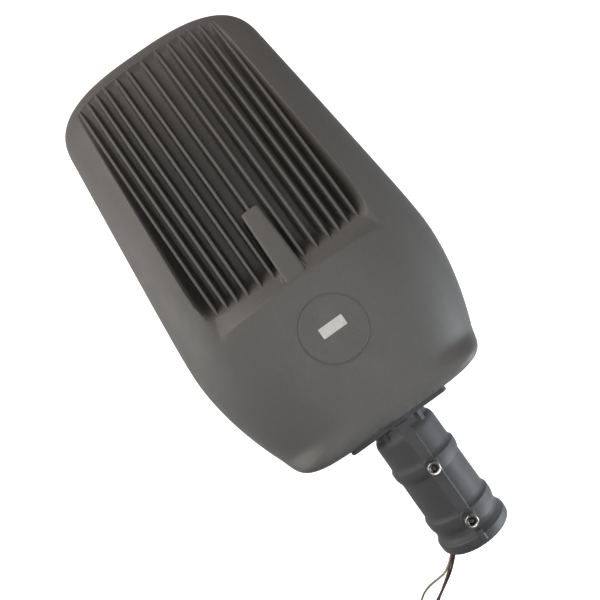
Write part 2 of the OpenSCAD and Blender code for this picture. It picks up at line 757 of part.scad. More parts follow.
module flange_gasket() {
    y = flange_y + flange_t;
    color(black_rubber) difference() {
        plate_across(flange_w, flange_h, flange_r, y, y + flange_gasket_t);
        rod_y(passage_r, y - over, y + flange_gasket_t + over);
        for (i = [-1, 1], j = [-1, 1])
            rod_y(bolt_d / 2 + hole_gap, y - over, y + flange_gasket_t + over,
                i * bolt_span_x / 2, j * bolt_span_z / 2);
    }
}

// Bolts through the housing's rear wall into the flange, put in from the driver bay
module flange_bolts() {
    bolt_l = bolt_wall + flange_gasket_t + flange_t - 0.5;
    color(bright_steel) in_housing() for (i = [-1, 1], j = [-1, 1])
        translate([i * bolt_span_x / 2, bay_rear, j * bolt_span_z / 2]) rotate([-90, 0, 0])
            socket_screw(bolt_d, bolt_l, bolt_d * 1.6, bolt_d);
}

module blank_label() {
    color([0.86, 0.86, 0.85]) in_housing()
        box([-label_w / 2, label_y - label_l / 2, pad_top], [label_w / 2, label_y + label_l / 2, pad_top + label_t]);
}

// Places of the four lens plates, of the lenses on each plate and of the screws at their corners
module each_plate() {
    for (i = [-1, 1], j = [-1, 1]) translate([i * plate_x, module_y + j * plate_y, 0]) children();
}

module each_lens() {
    each_plate() for (i = [1:lens_columns], j = [1:lens_rows])
        translate([(i - (lens_columns + 1) / 2) * lens_step_x, (j - (lens_rows + 1) / 2) * lens_step_y, 0])
            children();
}

module each_module_screw() {
    each_plate() corners(module_screw_x, module_screw_y) children();
}

module led_board() {
    color([0.92, 0.92, 0.90]) in_housing() {
        difference() {
            box([-board_w / 2, board_rear, board_z], [board_w / 2, board_rear + board_l, base_z]);
            each_module_screw() rod_z(module_screw_d / 2 + hole_gap, board_z - over, base_z + over);
        }
        box([-3.5, board_rear + 3.5, board_z - 4], [3.5, board_rear + 11.5, board_z]);
    }
}

module led_chips() {
    color([0.95, 0.85, 0.35]) in_housing() each_lens()
        box([-chip_w / 2, -chip_w / 2, board_z - 0.8], [chip_w / 2, chip_w / 2, board_z]);
}

module lens_plates() {
    color([0.85, 0.88, 0.90, 0.6]) in_housing() difference() {
        union() {
            each_plate() box([-plate_w / 2, -plate_l / 2, lens_z], [plate_w / 2, plate_l / 2, board_z]);
            intersection() {
                each_lens() translate([0, 0, lens_z - lens_h + lens_radius]) sphere(r = lens_radius);
                box([-board_w, board_rear, lens_z - lens_h - over], [board_w, board_rear + board_l, lens_z + 0.5]);
            }
        }
        each_lens() rod_z(chip_w * 0.75 + 0.1, board_z - 1.2, board_z + over);
        each_module_screw() rod_z(module_screw_d / 2 + hole_gap, lens_z - over, board_z + over);
    }
}

module reflector_tray() {
    inset = opening_inset + 1.5;
    window_x = (lens_columns - 1) / 2 * lens_step_x + lens_d / 2 + 0.4;
    window_y = (lens_rows - 1) / 2 * lens_step_y + lens_d / 2 + 0.4;
    color([0.94, 0.94, 0.93]) in_housing() difference() {
        slab(inset, light_opening + 1.5, body_l, tray_z, lens_z);
        each_plate() box([-window_x, -window_y, tray_z - over], [window_x, window_y, lens_z + over]);
        each_module_screw() rod_z(module_screw_d / 2 + hole_gap, tray_z - over, lens_z + over);
        box([-plate_gap_x / 2, light_opening, tray_z - over],
            [plate_gap_x / 2, board_rear + 13, lens_z + over]);
    }
}

module module_screws() {
    color(bright_steel) in_housing() each_module_screw() translate([0, 0, tray_z])
        pan_screw(module_screw_d, module_screw_end - tray_z - 0.5, 5.5, 2);
}

// A slab of the light opening, drawn in by inset on all four sides
module light_slab(inset, z0, z1) {
    slab(inset, light_rear + inset - rim_wall, body_l, z0, z1);
}

module glass_gasket() {
    color(black_rubber) in_housing() difference() {
        light_slab(glass_inset, glass_top, ledge_z);
        light_slab(opening_inset, glass_top - over, ledge_z + over);
    }
}

module glass_pane() {
    color([0.8, 0.88, 0.88, 0.35]) in_housing() light_slab(glass_inset, glass_low, glass_top);
}

// Places of the screws round the glass frame
module each_frame_screw() {
    nose_y = nose_start + (nose_round - frame_screw_inset)
        * pow(1 - pow(frame_nose_x / (half_w(body_l - 20) - frame_screw_inset), nose_power), 1 / nose_power);
    for (y = frame_side_ys)
        both_sides(edge_x(y, frame_screw_inset)) translate([0, y, 0]) children();
    both_sides(frame_nose_x) translate([0, nose_y, 0]) children();
    both_sides(frame_rear_x) translate([0, light_rear + frame_screw_inset - rim_wall, 0]) children();
}

module glass_frame() {
    color([0.36, 0.36, 0.37]) in_housing() difference() {
        light_slab(rim_wall + skin_gap, frame_low, ledge_z);
        light_slab(glass_inset - skin_gap, glass_low, ledge_z + over);
        light_slab(glass_inset + 5, frame_low - over, glass_low + over);
        each_frame_screw() rod_z(frame_screw_d / 2 + hole_gap, frame_low - over, ledge_z + over);
    }
}

module frame_screws() {
    color(bright_steel) in_housing() each_frame_screw() translate([0, 0, frame_low])
        pan_screw(frame_screw_d, shelf_top - 1.5 - frame_low, frame_screw_head_d, frame_screw_head_h);
}

// Feet of the driver, surge protector, terminal block and cable clamp, at the faces that they seat on
module each_bay_screw() {
    for (i = [-1, 1], j = [-1, 1])
        translate([i * driver_foot_x, driver_y + j * driver_foot_y, driver_top]) children();
    for (j = [-1, 1]) translate([surge_x, surge_y + j * surge_foot_y, surge_top]) children();
    for (i = [-1, 1]) translate([i * (terminal_l / 2 + 4.5), terminal_y, 0]) children();
    for (i = [-1, 1]) translate([i * clamp_screw_x, clamp_y, cable_d / 2 - gland_z]) children();
}

module bay_screws() {
    color(bright_steel) in_housing() each_bay_screw() translate([0, 0, -ear_t])
        pan_screw(bay_screw_d, ear_t + 7, bay_screw_head_d, bay_screw_head_h);
}

module led_driver() {
    color([0.80, 0.81, 0.82]) in_housing() difference() {
        union() {
            translate([-driver_l / 2, driver_y, driver_top - driver_h / 2]) rotate([90, 0, 90])
                linear_extrude(driver_l) polygon(rounded(driver_w, driver_h, 3));
            box([-driver_l / 2 - driver_tab_l, driver_y - driver_w / 2 + 3, driver_top - ear_t],
                [driver_l / 2 + driver_tab_l, driver_y + driver_w / 2 - 3, driver_top]);
        }
        for (i = [-1, 1], j = [-1, 1]) rod_z(bay_screw_d / 2 + hole_gap, driver_top - ear_t - over,
            driver_top + over, i * driver_foot_x, driver_y + j * driver_foot_y);
    }
}

module surge_protector() {
    color([0.20, 0.35, 0.60]) in_housing() difference() {
        union() {
            translate([surge_x - surge_l / 2, surge_y, surge_top - surge_h / 2]) rotate([90, 0, 90])
                linear_extrude(surge_l) polygon(rounded(surge_w, surge_h, 2));
            box([surge_x - 6, surge_y - surge_foot_y - 5, surge_top - ear_t],
                [surge_x + 6, surge_y + surge_foot_y + 5, surge_top]);
        }
        for (j = [-1, 1]) rod_z(bay_screw_d / 2 + hole_gap, surge_top - ear_t - over, surge_top + over,
            surge_x, surge_y + j * surge_foot_y);
    }
}

module terminal_block() {
    ear = terminal_l / 2 + 9;
    color([0.88, 0.88, 0.84]) in_housing() difference() {
        union() {
            box([-terminal_l / 2, terminal_y - terminal_w / 2, -terminal_h], [terminal_l / 2, terminal_y + terminal_w / 2, 0]);
            box([-ear, terminal_y - 6, -ear_t], [ear, terminal_y + 6, 0]);
        }
        for (i = [-1:1], j = [-1, 1])
            rod_z(2.6, -terminal_h - over, -terminal_h + 4, i * terminal_step, terminal_y + j * 6);
        both_sides(terminal_l / 2 + 4.5) rod_z(bay_screw_d / 2 + hole_gap, -ear_t - over, over, 0, terminal_y);
    }
}

// Saddle that holds the supply cable against its cast pad
module cable_clamp() {
    face = cable_d / 2 - gland_z;
    strap_t = 2.5;
    y0 = clamp_y - clamp_w / 2;
    y1 = clamp_y + clamp_w / 2;
    color([0.15, 0.15, 0.15]) in_housing() difference() {
        union() {
            box([-clamp_pad_x / 2, y0, face - ear_t], [clamp_pad_x / 2, y1, face]);
            rod_y(cable_d / 2 + strap_t, y0, y1, 0, -gland_z);
        }
        rod_y(cable_d / 2 + running_gap, y0 - over, y1 + over, 0, -gland_z);
        box([-cable_d, y0 - over, face], [cable_d, y1 + over, face + cable_d]);
        both_sides(clamp_screw_x) rod_z(bay_screw_d / 2 + hole_gap, face - ear_t - over, face + over, 0, clamp_y);
    }
}

// Earth screw with the ring lug of its lead
module earth_screw() {
    lug_t = 1.2;
    color([0.80, 0.72, 0.45]) in_housing() translate([earth_x, earth_y, earth_z]) {
        translate([0, 0, -lug_t]) pan_screw(earth_screw_d, 8, 9, 3.2);
        difference() {
            union() {
                rod_z(5, -lug_t, 0);
                box([-2, 4, -lug_t], [2, 9, 0]);
            }
            rod_z(earth_screw_d / 2 + running_gap, -lug_t - over, over);
        }
    }
}

module cable_gland() {
    thread_end = bay_rear + nut_t + 1;
    color([0.10, 0.10, 0.10]) in_housing() difference() {
        union() {
            rod_y(gland_d / 2, seat_y, thread_end, 0, -gland_z);
            translate([0, seat_y, -gland_z]) rotate([90, 0, 0])
                cylinder(d = gland_hex_corners, h = gland_body_l, $fn = 6);
            rod_y(gland_dome_d / 2, seat_y - gland_body_l - gland_dome_l, seat_y - gland_body_l, 0, -gland_z);
        }
        rod_y(cable_d / 2 + running_gap, seat_y - 30, thread_end + over, 0, -gland_z);
    }
}

module gland_nut() {
    color([0.10, 0.10, 0.10]) in_housing() difference() {
        translate([0, bay_rear + nut_t, -gland_z]) rotate([90, 0, 0])
            cylinder(d = gland_hex_corners, h = nut_t, $fn = 6);
        rod_y(gland_d / 2 + running_gap, bay_rear - over, bay_rear + nut_t + over, 0, -gland_z);
    }
}

module supply_cable() {
    color([0.06, 0.06, 0.06]) rod_y(cable_d / 2, sheath_end, rear_y + cable_end, 0, -gland_z);
}

module duct_grommet() {
    color(black_rubber) in_housing() difference() {
        union() {
            rod_y(grommet_r - 0.1, bay_front, cavity_rear + 1.5, 0, grommet_z);
            rod_y(grommet_r + 2.5, bay_front - 2.5, bay_front, 0, grommet_z);
        }
        rod_y(led_lead_d / 2 + running_gap, bay_front - 4, cavity_rear + 3, 0, grommet_z);
    }
}

// A tube along points: each ring stands square to the route there
function unit(v) = v / norm(v);
module tube(points, d, sides = 8) {
    ref = unit([1, 0.35, -0.6]);
    n = len(points);
    tangents = [for (i = [0:n - 1]) unit(points[min(n - 1, i + 1)] - points[max(0, i - 1)])];
    rings = [for (i = [0:n - 1])
        let (u = unit(cross(tangents[i], ref)), v = cross(tangents[i], u))
        for (k = [0:sides - 1]) points[i] + d / 2 * (cos(360 * k / sides) * u + sin(360 * k / sides) * v)];
    walls = [for (i = [0:n - 2], k = [0:sides - 1])
        let (a = i * sides + k, b = i * sides + (k + 1) % sides)
        each [[a, a + sides, b + sides], [a, b + sides, b]]];
    polyhedron(rings, concat([[for (k = [0:sides - 1]) k]], walls,
        [[for (k = [sides - 1:-1:0]) (n - 1) * sides + k]]), convexity = 4);
}

// Leads in the housing, in the housing's own frame
lead_d = 2.2;
led_lead_d = 4;
driver_end = driver_l / 2;
live_routes = [
    [[-2.6, 45.4, -10], [-2.6, 47.2, -10], [-4.6, 49.6, -10.6], [-9.6, 51.2, -11.4], [-12, 53.2, -12], [-12, 55, -12]],
    [[-12, 77, -12], [-12, 79.2, -12], [-14, 80.8, -12], [-20, 81, -11.6], [-45, 81, -10], [-driver_end - 4, 81, -7],
        [-driver_end - 12, 83.5, -5.6], [-driver_end - 16, 90, -4.6], [-driver_end - 15.4, 99, -3.6],
        [-driver_end - 10, 105, -3], [-driver_end - 3, 106, -3], [-driver_end, 106, -3]],
    [[-41, 52, 6], [-38, 52, 6], [-34, 54, 2.6], [-30, 58, -6], [-26, 62.4, -11], [-22, 64, -12], [-19, 64, -12]]];
neutral_routes = [
    [[0, 45.4, -10], [0, 47.2, -10], [0, 53.2, -12], [0, 55, -12]],
    [[0, 77, -12], [0, 79.2, -12], [-1.6, 80.8, -13], [-6, 81, -15], [-45, 81, -14], [-driver_end - 6, 81, -10.6],
        [-driver_end - 15, 84, -9], [-driver_end - 19.4, 91, -8.4], [-driver_end - 18.8, 101, -7.6],
        [-driver_end - 12.6, 109.4, -7], [-driver_end - 3, 111, -7], [-driver_end, 111, -7]],
    [[-41, 43, 3], [-38, 43, 3], [-34, 45, 0], [-30, 51, -8.6], [-26, 57.6, -14.6], [-22, 60, -16], [-19, 60, -16]]];
earth_routes = [
    [[2.6, 45.4, -10], [2.6, 47.2, -10], [4.6, 49.6, -10.6], [9.6, 51.2, -11.4], [12, 53.2, -12], [12, 55, -12]],
    [[12, 77, -12], [12, 79.2, -12], [14, 80.6, -12], [20, 80.6, -11.6], [29, 78.4, -10], [39, 71, -5],
        [44.6, 60, 1], [46, 51, 5], [46, 46, 7.2], [46, 43.1, 7.2]]];
led_lead_route = [[driver_end, 117, 2], [driver_end + 4, 117, 2], [driver_end + 12, 118.6, 2],
    [driver_end + 17.6, 124, 2.4], [driver_end + 19, 134, 3], [driver_end + 17.6, 145, 4],
    [driver_end + 12, 152, 5], [driver_end, 153.6, 6], [44, 153.6, 7.4], [12, 153.6, 8], [5.6, 153.6, 8],
    [1.4, 154.6, 8], [0, 157, 8], [0, 160, 8], [0, 169, 8], [0, 174, 7], [0, 180, 2], [0, 185, -6],
    [0, 189.6, -15], [0, 194, -20.6], [0, 199, -22.8], [0, 203, -22.8]];

module leads_live() {
    color([0.42, 0.20, 0.10]) in_housing() for (route = live_routes) tube(route, lead_d);
}

module leads_neutral() {
    color([0.10, 0.25, 0.65]) in_housing() for (route = neutral_routes) tube(route, lead_d);
}

module leads_earth() {
    color([0.45, 0.65, 0.15]) in_housing() for (route = earth_routes) tube(route, lead_d);
}

module led_lead() {
    color([0.85, 0.85, 0.83]) in_housing() tube(led_lead_route, led_lead_d);
}

// Door plate with two ribs, hinge knuckles and arms
module driver_door() {
    low = -rim_z;
    top = low + door_t;
    color([0.34, 0.34, 0.35]) in_housing() difference() {
        union() {
            slab(rim_wall + door_gap, 0, door_front, low, top);
            for (y = door_rib_ys) box([-door_rib_l / 2, y, top - 0.5], [door_rib_l / 2, y + door_rib_t, top + door_rib_h]);
            both_sides(knuckle_x) {
                rod_x(knuckle_d / 2, -knuckle_w / 2, knuckle_w / 2, hinge_y, hinge_z);
                box([-knuckle_w / 2, door_front - 2, low], [knuckle_w / 2, hinge_y, top]);
            }
        }
        both_sides(knuckle_x) rod_x(pin_d / 2 + running_gap, -knuckle_w, knuckle_w, hinge_y, hinge_z);
        both_sides(edge_x(door_screw_y, door_screw_inset))
            rod_z(door_screw_d / 2 + running_gap, low - over, top + over, 0, door_screw_y);
        rod_z(vent_d / 2 + running_gap, low - over, top + over, vent_x, vent_y);
    }
}

module door_gasket() {
    seat = rim_wall + 8;
    color(black_rubber) in_housing() difference() {
        slab(seat, 0, bay_opening_front + 4, -rim_z + door_t, bay_ledge_z);
        slab(seat + 3.5, 0, bay_opening_front + 0.5, -rim_z, bay_ledge_z + over);
    }
}

module breather_vent() {
    low = -rim_z;
    color([0.12, 0.12, 0.12]) in_housing() translate([vent_x, vent_y, 0]) {
        rod_z(vent_d / 2, low - over, low + door_t + 4);
        rod_z(vent_cap_d / 2, low - vent_cap_h, low);
        difference() {
            translate([0, 0, low + door_t]) cylinder(d = vent_cap_d, h = 3, $fn = 6);
            rod_z(vent_d / 2, low, low + door_t + 4);
        }
    }
}

module hinge_pins() {
    color(bright_steel) in_housing() both_sides(knuckle_x)
        rod_x(pin_d / 2, -pin_l / 2, pin_l / 2, hinge_y, hinge_z);
}

module door_screw(side) {
    color(bright_steel) in_housing() translate([side * edge_x(door_screw_y, door_screw_inset), door_screw_y, -rim_z])
        pan_screw(door_screw_d, door_screw_l, door_screw_head_d, door_screw_head_h);
}

module door_screw_left() {
    door_screw(-1);
}

module door_screw_right() {
    door_screw(1);
}

// Free cores of the supply cable: through the groove, out of the mouth and down to the left
earth_core = [[-2.6, 126, -10], [-2.6, 123.6, -10], [-2.7, 119.6, -13.4], [-2.8, 115.5, -20],
    [-2.8, 111, -26], [-2.8, 107, -30.2], [-2.8, 103, -32], [-2.8, 99, -32.2], [-2.8, -2, -32.2],
    [-4.1, -5.1, -34.2], [-7.8, -9.8, -38.9], [-15.5, -15.4, -44.5], [-24.8, -21.5, -51.7],
    [-34, -29.8, -60.4], [-39.9, -37.9, -66.4], [-47.7, -46.5, -72.8], [-56.3, -52.5, -76.6],
    [-64.7, -55.3, -80.6], [-73.3, -57.7, -85], [-81.7, -61.5, -91], [-89.8, -67.7, -99],
    [-97.1, -76.2, -109], [-102.7, -85.4, -121], [-106.6, -93.9, -134]];
brown_core = [[0, 126, -10], [0, 123.6, -10], [0, 119.6, -13.4], [0, 115.5, -20], [0, 111, -26],
    [0, 107, -30.2], [0, 103, -32], [0, 99, -32.2], [0, -2, -32.2], [-1.6, -6.5, -33.4], [-6, -11.2, -36.4],
    [-14.4, -16.4, -41.6], [-24.4, -22, -48.6], [-33.8, -30.1, -57.2], [-39.8, -38.3, -63.2],
    [-47.1, -47.2, -69.7], [-54.4, -55.5, -75.3], [-62.7, -63.8, -81.1], [-71.4, -72.3, -87.5],
    [-80.4, -80.3, -94.7], [-87.6, -88.4, -103.5], [-92.6, -95.9, -114.1], [-95.6, -102, -126.1],
    [-96.7, -106.8, -138.7]];
blue_core = [[2.6, 126, -10], [2.6, 123.6, -10], [2.7, 119.6, -13.4], [2.8, 115.5, -20], [2.8, 111, -26],
    [2.8, 107, -30.2], [2.8, 103, -32], [2.8, 99, -32.2], [2.8, -2, -32.2], [1.4, -7, -33.4],
    [-3.2, -12.5, -36.6], [-12.1, -18.3, -41.8], [-22.4, -24.4, -48.8], [-32.2, -32.4, -57.4],
    [-38.2, -40.5, -63.7], [-45.2, -49.6, -70.7], [-52.6, -57.7, -77.1], [-61.3, -65.7, -83.7],
    [-70.5, -73.8, -90.4], [-78.9, -82.3, -97.7], [-84.8, -91.2, -106.5], [-88.8, -99.3, -116.9],
    [-90.9, -106, -128.7], [-91.7, -111.2, -141.3]];
bare_end_l = 6;
bare_end_d = 1.4;

module core_brown() {
    color([0.40, 0.17, 0.12]) tube(brown_core, core_d);
}

module core_blue() {
    color([0.16, 0.18, 0.42]) tube(blue_core, core_d);
}

module core_earth() {
    color([0.62, 0.72, 0.25]) tube(earth_core, core_d);
}

module core_ends() {
    color([0.80, 0.48, 0.28]) for (core = [earth_core, brown_core, blue_core])
        let (end = core[len(core) - 1], way = unit(end - core[len(core) - 2]))
        tube([end, end + bare_end_l * way], bare_end_d);
}

housing();
spigot();
flange_gasket();
flange_bolts();
clamp_screw_inner();
clamp_screw_outer();
blank_label();
led_board();
led_chips();
lens_plates();
reflector_tray();
module_screws();
glass_gasket();
glass_pane();
glass_frame();
frame_screws();
led_driver();
surge_protector();
terminal_block();
cable_clamp();
bay_screws();
earth_screw();
cable_gland();
gland_nut();
supply_cable();
duct_grommet();
leads_live();
leads_neutral();
leads_earth();
led_lead();
driver_door();
door_gasket();
breather_vent();
hinge_pins();
door_screw_left();
door_screw_right();
core_brown();
core_blue();
core_earth();
core_ends();
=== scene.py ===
import math
from contextlib import contextmanager

import bmesh
import bpy
import numpy as np
from mathutils import Matrix, Vector, geometry
from mathutils.bvhtree import BVHTree


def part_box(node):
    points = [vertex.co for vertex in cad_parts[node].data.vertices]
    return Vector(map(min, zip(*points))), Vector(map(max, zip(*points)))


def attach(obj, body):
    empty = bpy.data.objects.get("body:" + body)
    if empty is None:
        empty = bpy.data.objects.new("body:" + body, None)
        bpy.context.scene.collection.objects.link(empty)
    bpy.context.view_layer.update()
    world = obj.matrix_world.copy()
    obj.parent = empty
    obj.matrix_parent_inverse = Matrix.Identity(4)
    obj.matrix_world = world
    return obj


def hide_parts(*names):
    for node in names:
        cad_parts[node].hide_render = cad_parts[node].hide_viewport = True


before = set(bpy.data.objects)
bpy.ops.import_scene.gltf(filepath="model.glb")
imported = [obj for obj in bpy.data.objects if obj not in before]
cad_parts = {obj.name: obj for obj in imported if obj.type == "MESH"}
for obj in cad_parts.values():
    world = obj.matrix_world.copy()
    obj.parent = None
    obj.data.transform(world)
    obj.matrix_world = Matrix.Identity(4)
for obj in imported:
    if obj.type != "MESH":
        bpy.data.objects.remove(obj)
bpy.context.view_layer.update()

# Camera. It looks down on the roof from above the fins and is rolled so that the nose points to the
# upper left of the picture.
camera_at = (-0.0229, 0.2622, 0.5897)
camera_tilt = (3.6, -1.24, -0.05)
camera_roll = -35.33
sensor_width = 36.0
focal_share = 554.66 / 600


def place(name, data):
    made = bpy.data.objects.new(name, data)
    bpy.context.scene.collection.objects.link(made)
    return made


camera_data = bpy.data.cameras.new("camera")
camera_data.sensor_width = sensor_width
camera_data.lens = sensor_width * focal_share
camera = place("camera", camera_data)
turns = [Matrix.Rotation(math.radians(a), 4, axis) for a, axis in zip((*camera_tilt, camera_roll), "XYZZ")]
camera.matrix_world = Matrix.Translation(camera_at) @ turns[0] @ turns[1] @ turns[2] @ turns[3]
bpy.context.scene.camera = camera

# Free cores of the supply cable. Three PVC-insulated stranded wires leave the end of the black sheath inside
# the spigot, run along the groove in the bottom of the bore and hang from the mouth, bent to the left.
MM = 0.001
core_diameter = 2.5 * MM
bare_length = 6 * MM
bore_run = [(2.6, 126, -10), (2.6, 123.6, -10), (2.7, 119.6, -13.4), (2.8, 115.5, -20), (2.8, 111, -26),
            (2.8, 107, -30.2), (2.8, 103, -32), (2.8, 99, -32.2), (2.8, -2, -32.2)]
free_runs = {
    "core_earth": [
        (-4.1, -5.1, -34.2), (-7.8, -9.8, -38.9), (-15.5, -15.4, -44.5), (-24.8, -21.5, -51.7),
        (-34, -29.8, -60.4), (-39.9, -37.9, -66.4), (-47.7, -46.5, -72.8), (-56.3, -52.5, -76.6),
        (-64.7, -55.3, -80.6), (-73.3, -57.7, -85), (-81.7, -61.5, -91), (-89.8, -67.7, -99),
        (-97.1, -76.2, -109), (-102.7, -85.4, -121), (-106.6, -93.9, -134)],
    "core_brown": [
        (-1.6, -6.5, -33.4), (-6, -11.2, -36.4), (-14.4, -16.4, -41.6), (-24.4, -22, -48.6),
        (-33.8, -30.1, -57.2), (-39.8, -38.3, -63.2), (-47.1, -47.2, -69.7), (-54.4, -55.5, -75.3),
        (-62.7, -63.8, -81.1), (-71.4, -72.3, -87.5), (-80.4, -80.3, -94.7), (-87.6, -88.4, -103.5),
        (-92.6, -95.9, -114.1), (-95.6, -102, -126.1), (-96.7, -106.8, -138.7)],
    "core_blue": [
        (1.4, -7, -33.4), (-3.2, -12.5, -36.6), (-12.1, -18.3, -41.8), (-22.4, -24.4, -48.8),
        (-32.2, -32.4, -57.4), (-38.2, -40.5, -63.7), (-45.2, -49.6, -70.7), (-52.6, -57.7, -77.1),
        (-61.3, -65.7, -83.7), (-70.5, -73.8, -90.4), (-78.9, -82.3, -97.7), (-84.8, -91.2, -106.5),
        (-88.8, -99.3, -116.9), (-90.9, -106, -128.7), (-91.7, -111.2, -141.3)],
}


def smooth_route(points, steps=5):
    """Points on a smooth curve through the given ones, which keeps the straight stretches straight."""
    points = np.array(points, float)
    gaps = np.linalg.norm(np.diff(points, axis=0), axis=1)
    ways = np.diff(points, axis=0) / gaps[:, None]
    before, after = gaps[:-1, None], gaps[1:, None]
    middle = (ways[1:] * before + ways[:-1] * after) / (before + after)
    slopes = np.vstack([ways[:1], middle, ways[-1:]])
    line = [points[0]]
    for i, gap in enumerate(gaps):
        for t in np.linspace(0, 1, steps + 1)[1:]:
            line.append((2 * t**3 - 3 * t**2 + 1) * points[i] + (t**3 - 2 * t**2 + t) * gap * slopes[i]
                        + (3 * t**2 - 2 * t**3) * points[i + 1] + (t**3 - t**2) * gap * slopes[i + 1])
    return np.array(line)


def add_object(name, vertices, faces, material):
    mesh = bpy.data.meshes.new(name)
    mesh.from_pydata([tuple(v) for v in vertices], [], [tuple(f) for f in faces])
    mesh.materials.append(material)
    mesh.update()
    return place(name, mesh)


def swept_rings(line, radius, sides):
    """Rings square to a line, carried along it without twist."""
    ways = np.gradient(line, axis=0)
    ways /= np.linalg.norm(ways, axis=1)[:, None]
    across = np.cross(ways[0], (1.0, 0.35, -0.6))
    angles = (2 * math.pi * np.arange(sides) / sides)[:, None]
    rings = []
    for point, way in zip(line, ways):
        across = across - way * (across @ way)
        across /= np.linalg.norm(across)
        rings.append(point + radius * (np.cos(angles) * across + np.sin(angles) * np.cross(way, across)))
    return rings


def smooth(piece, angle):
    """Shades a piece smoothly and keeps its edges sharp from an angle in degrees."""
    piece.data.shade_smooth()
    piece.data.set_sharp_from_angle(angle=math.radians(angle))


def bands(rows, n, start):
    """Faces between closed rows of n points each, numbered from start."""
    faces = []
    for first in range(start, start + (rows - 1) * n, n):
        for k in range(n):
            a, b = first + k, first + (k + 1) % n
            faces.append((a, b, b + n, a + n))
    return faces


def lofted(rows, start):
    """Faces between closed rows of points, with end caps."""
    n = len(rows[0])
    last = start + (len(rows) - 1) * n
    return bands(len(rows), n, start) + [tuple(range(start + n - 1, start - 1, -1)), tuple(range(last, last + n))]


def sweep(name, lines, radius, material, sides=12):
    """Round tubes along lines, closed at both ends. The UV map runs round the tube and along it in metres."""
    vertices, faces, uvs = [], [], []
    for line in lines:
        along = np.concatenate([[0], np.cumsum(np.linalg.norm(np.diff(line, axis=0), axis=1))])
        rings = swept_rings(line, radius, sides)
        faces += lofted(rings, len(vertices))
        vertices += [point for ring in rings for point in ring]
        for low, high in zip(along, along[1:]):
            for k in range(sides):
                left, right = k / sides, (k + 1) / sides
                uvs += [(left, low), (right, low), (right, high), (left, high)]
        uvs += [(0.5, 0)] * sides + [(0.5, along[-1])] * sides
    made = add_object(name, vertices, faces, material)
    layer = made.data.uv_layers.new(name="UVMap")
    layer.data.foreach_set("uv", np.array(uvs, np.float32).ravel())
    smooth(made, 60)
    return made


def shader(name, colour, roughness, settings=None):
    """A material with one Principled shader. Settings name the shader's own inputs."""
    material = bpy.data.materials.new(name)
    material.use_nodes = True
    surface = material.node_tree.nodes["Principled BSDF"]
    surface.inputs["Base Color"].default_value = (*colour, 1)
    surface.inputs["Roughness"].default_value = roughness
    for key, value in (settings or {}).items():
        surface.inputs[key].default_value = value
    return material


def node(material, kind, inputs=None, **settings):
    """Adds a shader node. An input is a number, a colour or another node's output."""
    made = material.node_tree.nodes.new("ShaderNode" + kind)
    for key, value in settings.items():
        setattr(made, key, value)
    for key, value in (inputs or {}).items():
        if isinstance(value, bpy.types.NodeSocket):
            material.node_tree.links.new(value, made.inputs[key])
        else:
            made.inputs[key].default_value = value
    return made


def noise(material, where, scale, detail=2.0, roughness=0.5):
    return node(material, "TexNoise", {"Vector": where, "Scale": scale, "Detail": detail,
                                       "Roughness": roughness}).outputs["Fac"]


def spread(material, value, low, high, out_low=0.0, out_high=1.0):
    return node(material, "MapRange", {"Value": value, "From Min": low, "From Max": high,
                                       "To Min": out_low, "To Max": out_high}).outputs["Result"]


def mixed(material, share, first, second):
    """Two colours mixed by a share from 0 to 1."""
    ends = [c if isinstance(c, bpy.types.NodeSocket) else (*c, 1) for c in (first, second)]
    return node(material, "Mix", {0: share, 6: ends[0], 7: ends[1]}, data_type="RGBA").outputs[2]


def feed(material, name, value):
    material.node_tree.links.new(value, material.node_tree.nodes["Principled BSDF"].inputs[name])


def bumped(material, layers):
    """Joins bumps given as (height, distance in metres, strength) and puts them on the shader."""
    inputs = {}
    for height, distance, strength in layers:
        inputs.update({"Height": height, "Distance": distance, "Strength": strength})
        inputs["Normal"] = node(material, "Bump", inputs).outputs["Normal"]
    feed(material, "Normal", inputs["Normal"])


def object_place(material, stretch=(1, 1, 1)):
    where = node(material, "TexCoord").outputs["Object"]
    return node(material, "Mapping", {"Vector": where, "Scale": stretch}).outputs["Vector"]


def worn(material, unevenness, least, most):
    """Lets the roughness follow a noise."""
    feed(material, "Roughness", spread(material, unevenness, 0.3, 0.7, least, most))


def finish(name, colour, roughness, wear=None, tones=None, grain=None, settings=None):
    """A plain material with an uneven surface. Wear is (noise scale, least and most roughness), tones are (noise
    scale, share of the noise at each colour, two colours), and grain is (noise scale, metres, strength)."""
    material = shader(name, colour, roughness, settings)
    where = object_place(material)
    if wear:
        scale, least, most = wear
        worn(material, noise(material, where, scale), least, most)
    if tones:
        scale, low, high, first, second = tones
        share = spread(material, noise(material, where, scale), low, high)
        feed(material, "Base Color", mixed(material, share, first, second))
    if grain:
        scale, distance, strength = grain
        bumped(material, [(noise(material, where, scale), distance, strength)])
    return material


def pvc(name, colour, second=None):
    """Soft PVC insulation: slightly glossy, faintly uneven, with a spiral of a second colour if one is given."""
    material = shader(name, colour, 0.38)
    where = object_place(material)
    mottle = noise(material, where, 900)
    base = mixed(material, spread(material, mottle, 0.3, 0.7), [c * 0.85 for c in colour],
                 [min(1, c * 1.12) for c in colour])
    if second:
        uv = node(material, "TexCoord").outputs["UV"]
        parts = node(material, "SeparateXYZ", {"Vector": uv}).outputs
        lean = node(material, "Math", {0: parts["Y"], 1: 6.0}, operation="MULTIPLY").outputs[0]
        turned = node(material, "Math", {0: parts["X"], 1: lean}, operation="ADD").outputs[0]
        share = node(material, "Math", {0: turned}, operation="FRACT").outputs[0]
        base = mixed(material, spread(material, share, 0.62, 0.66), base, second)
    feed(material, "Base Color", base)
    worn(material, noise(material, where, 300), 0.32, 0.46)
    bumped(material, [(mottle, 0.00004, 0.5)])
    return material


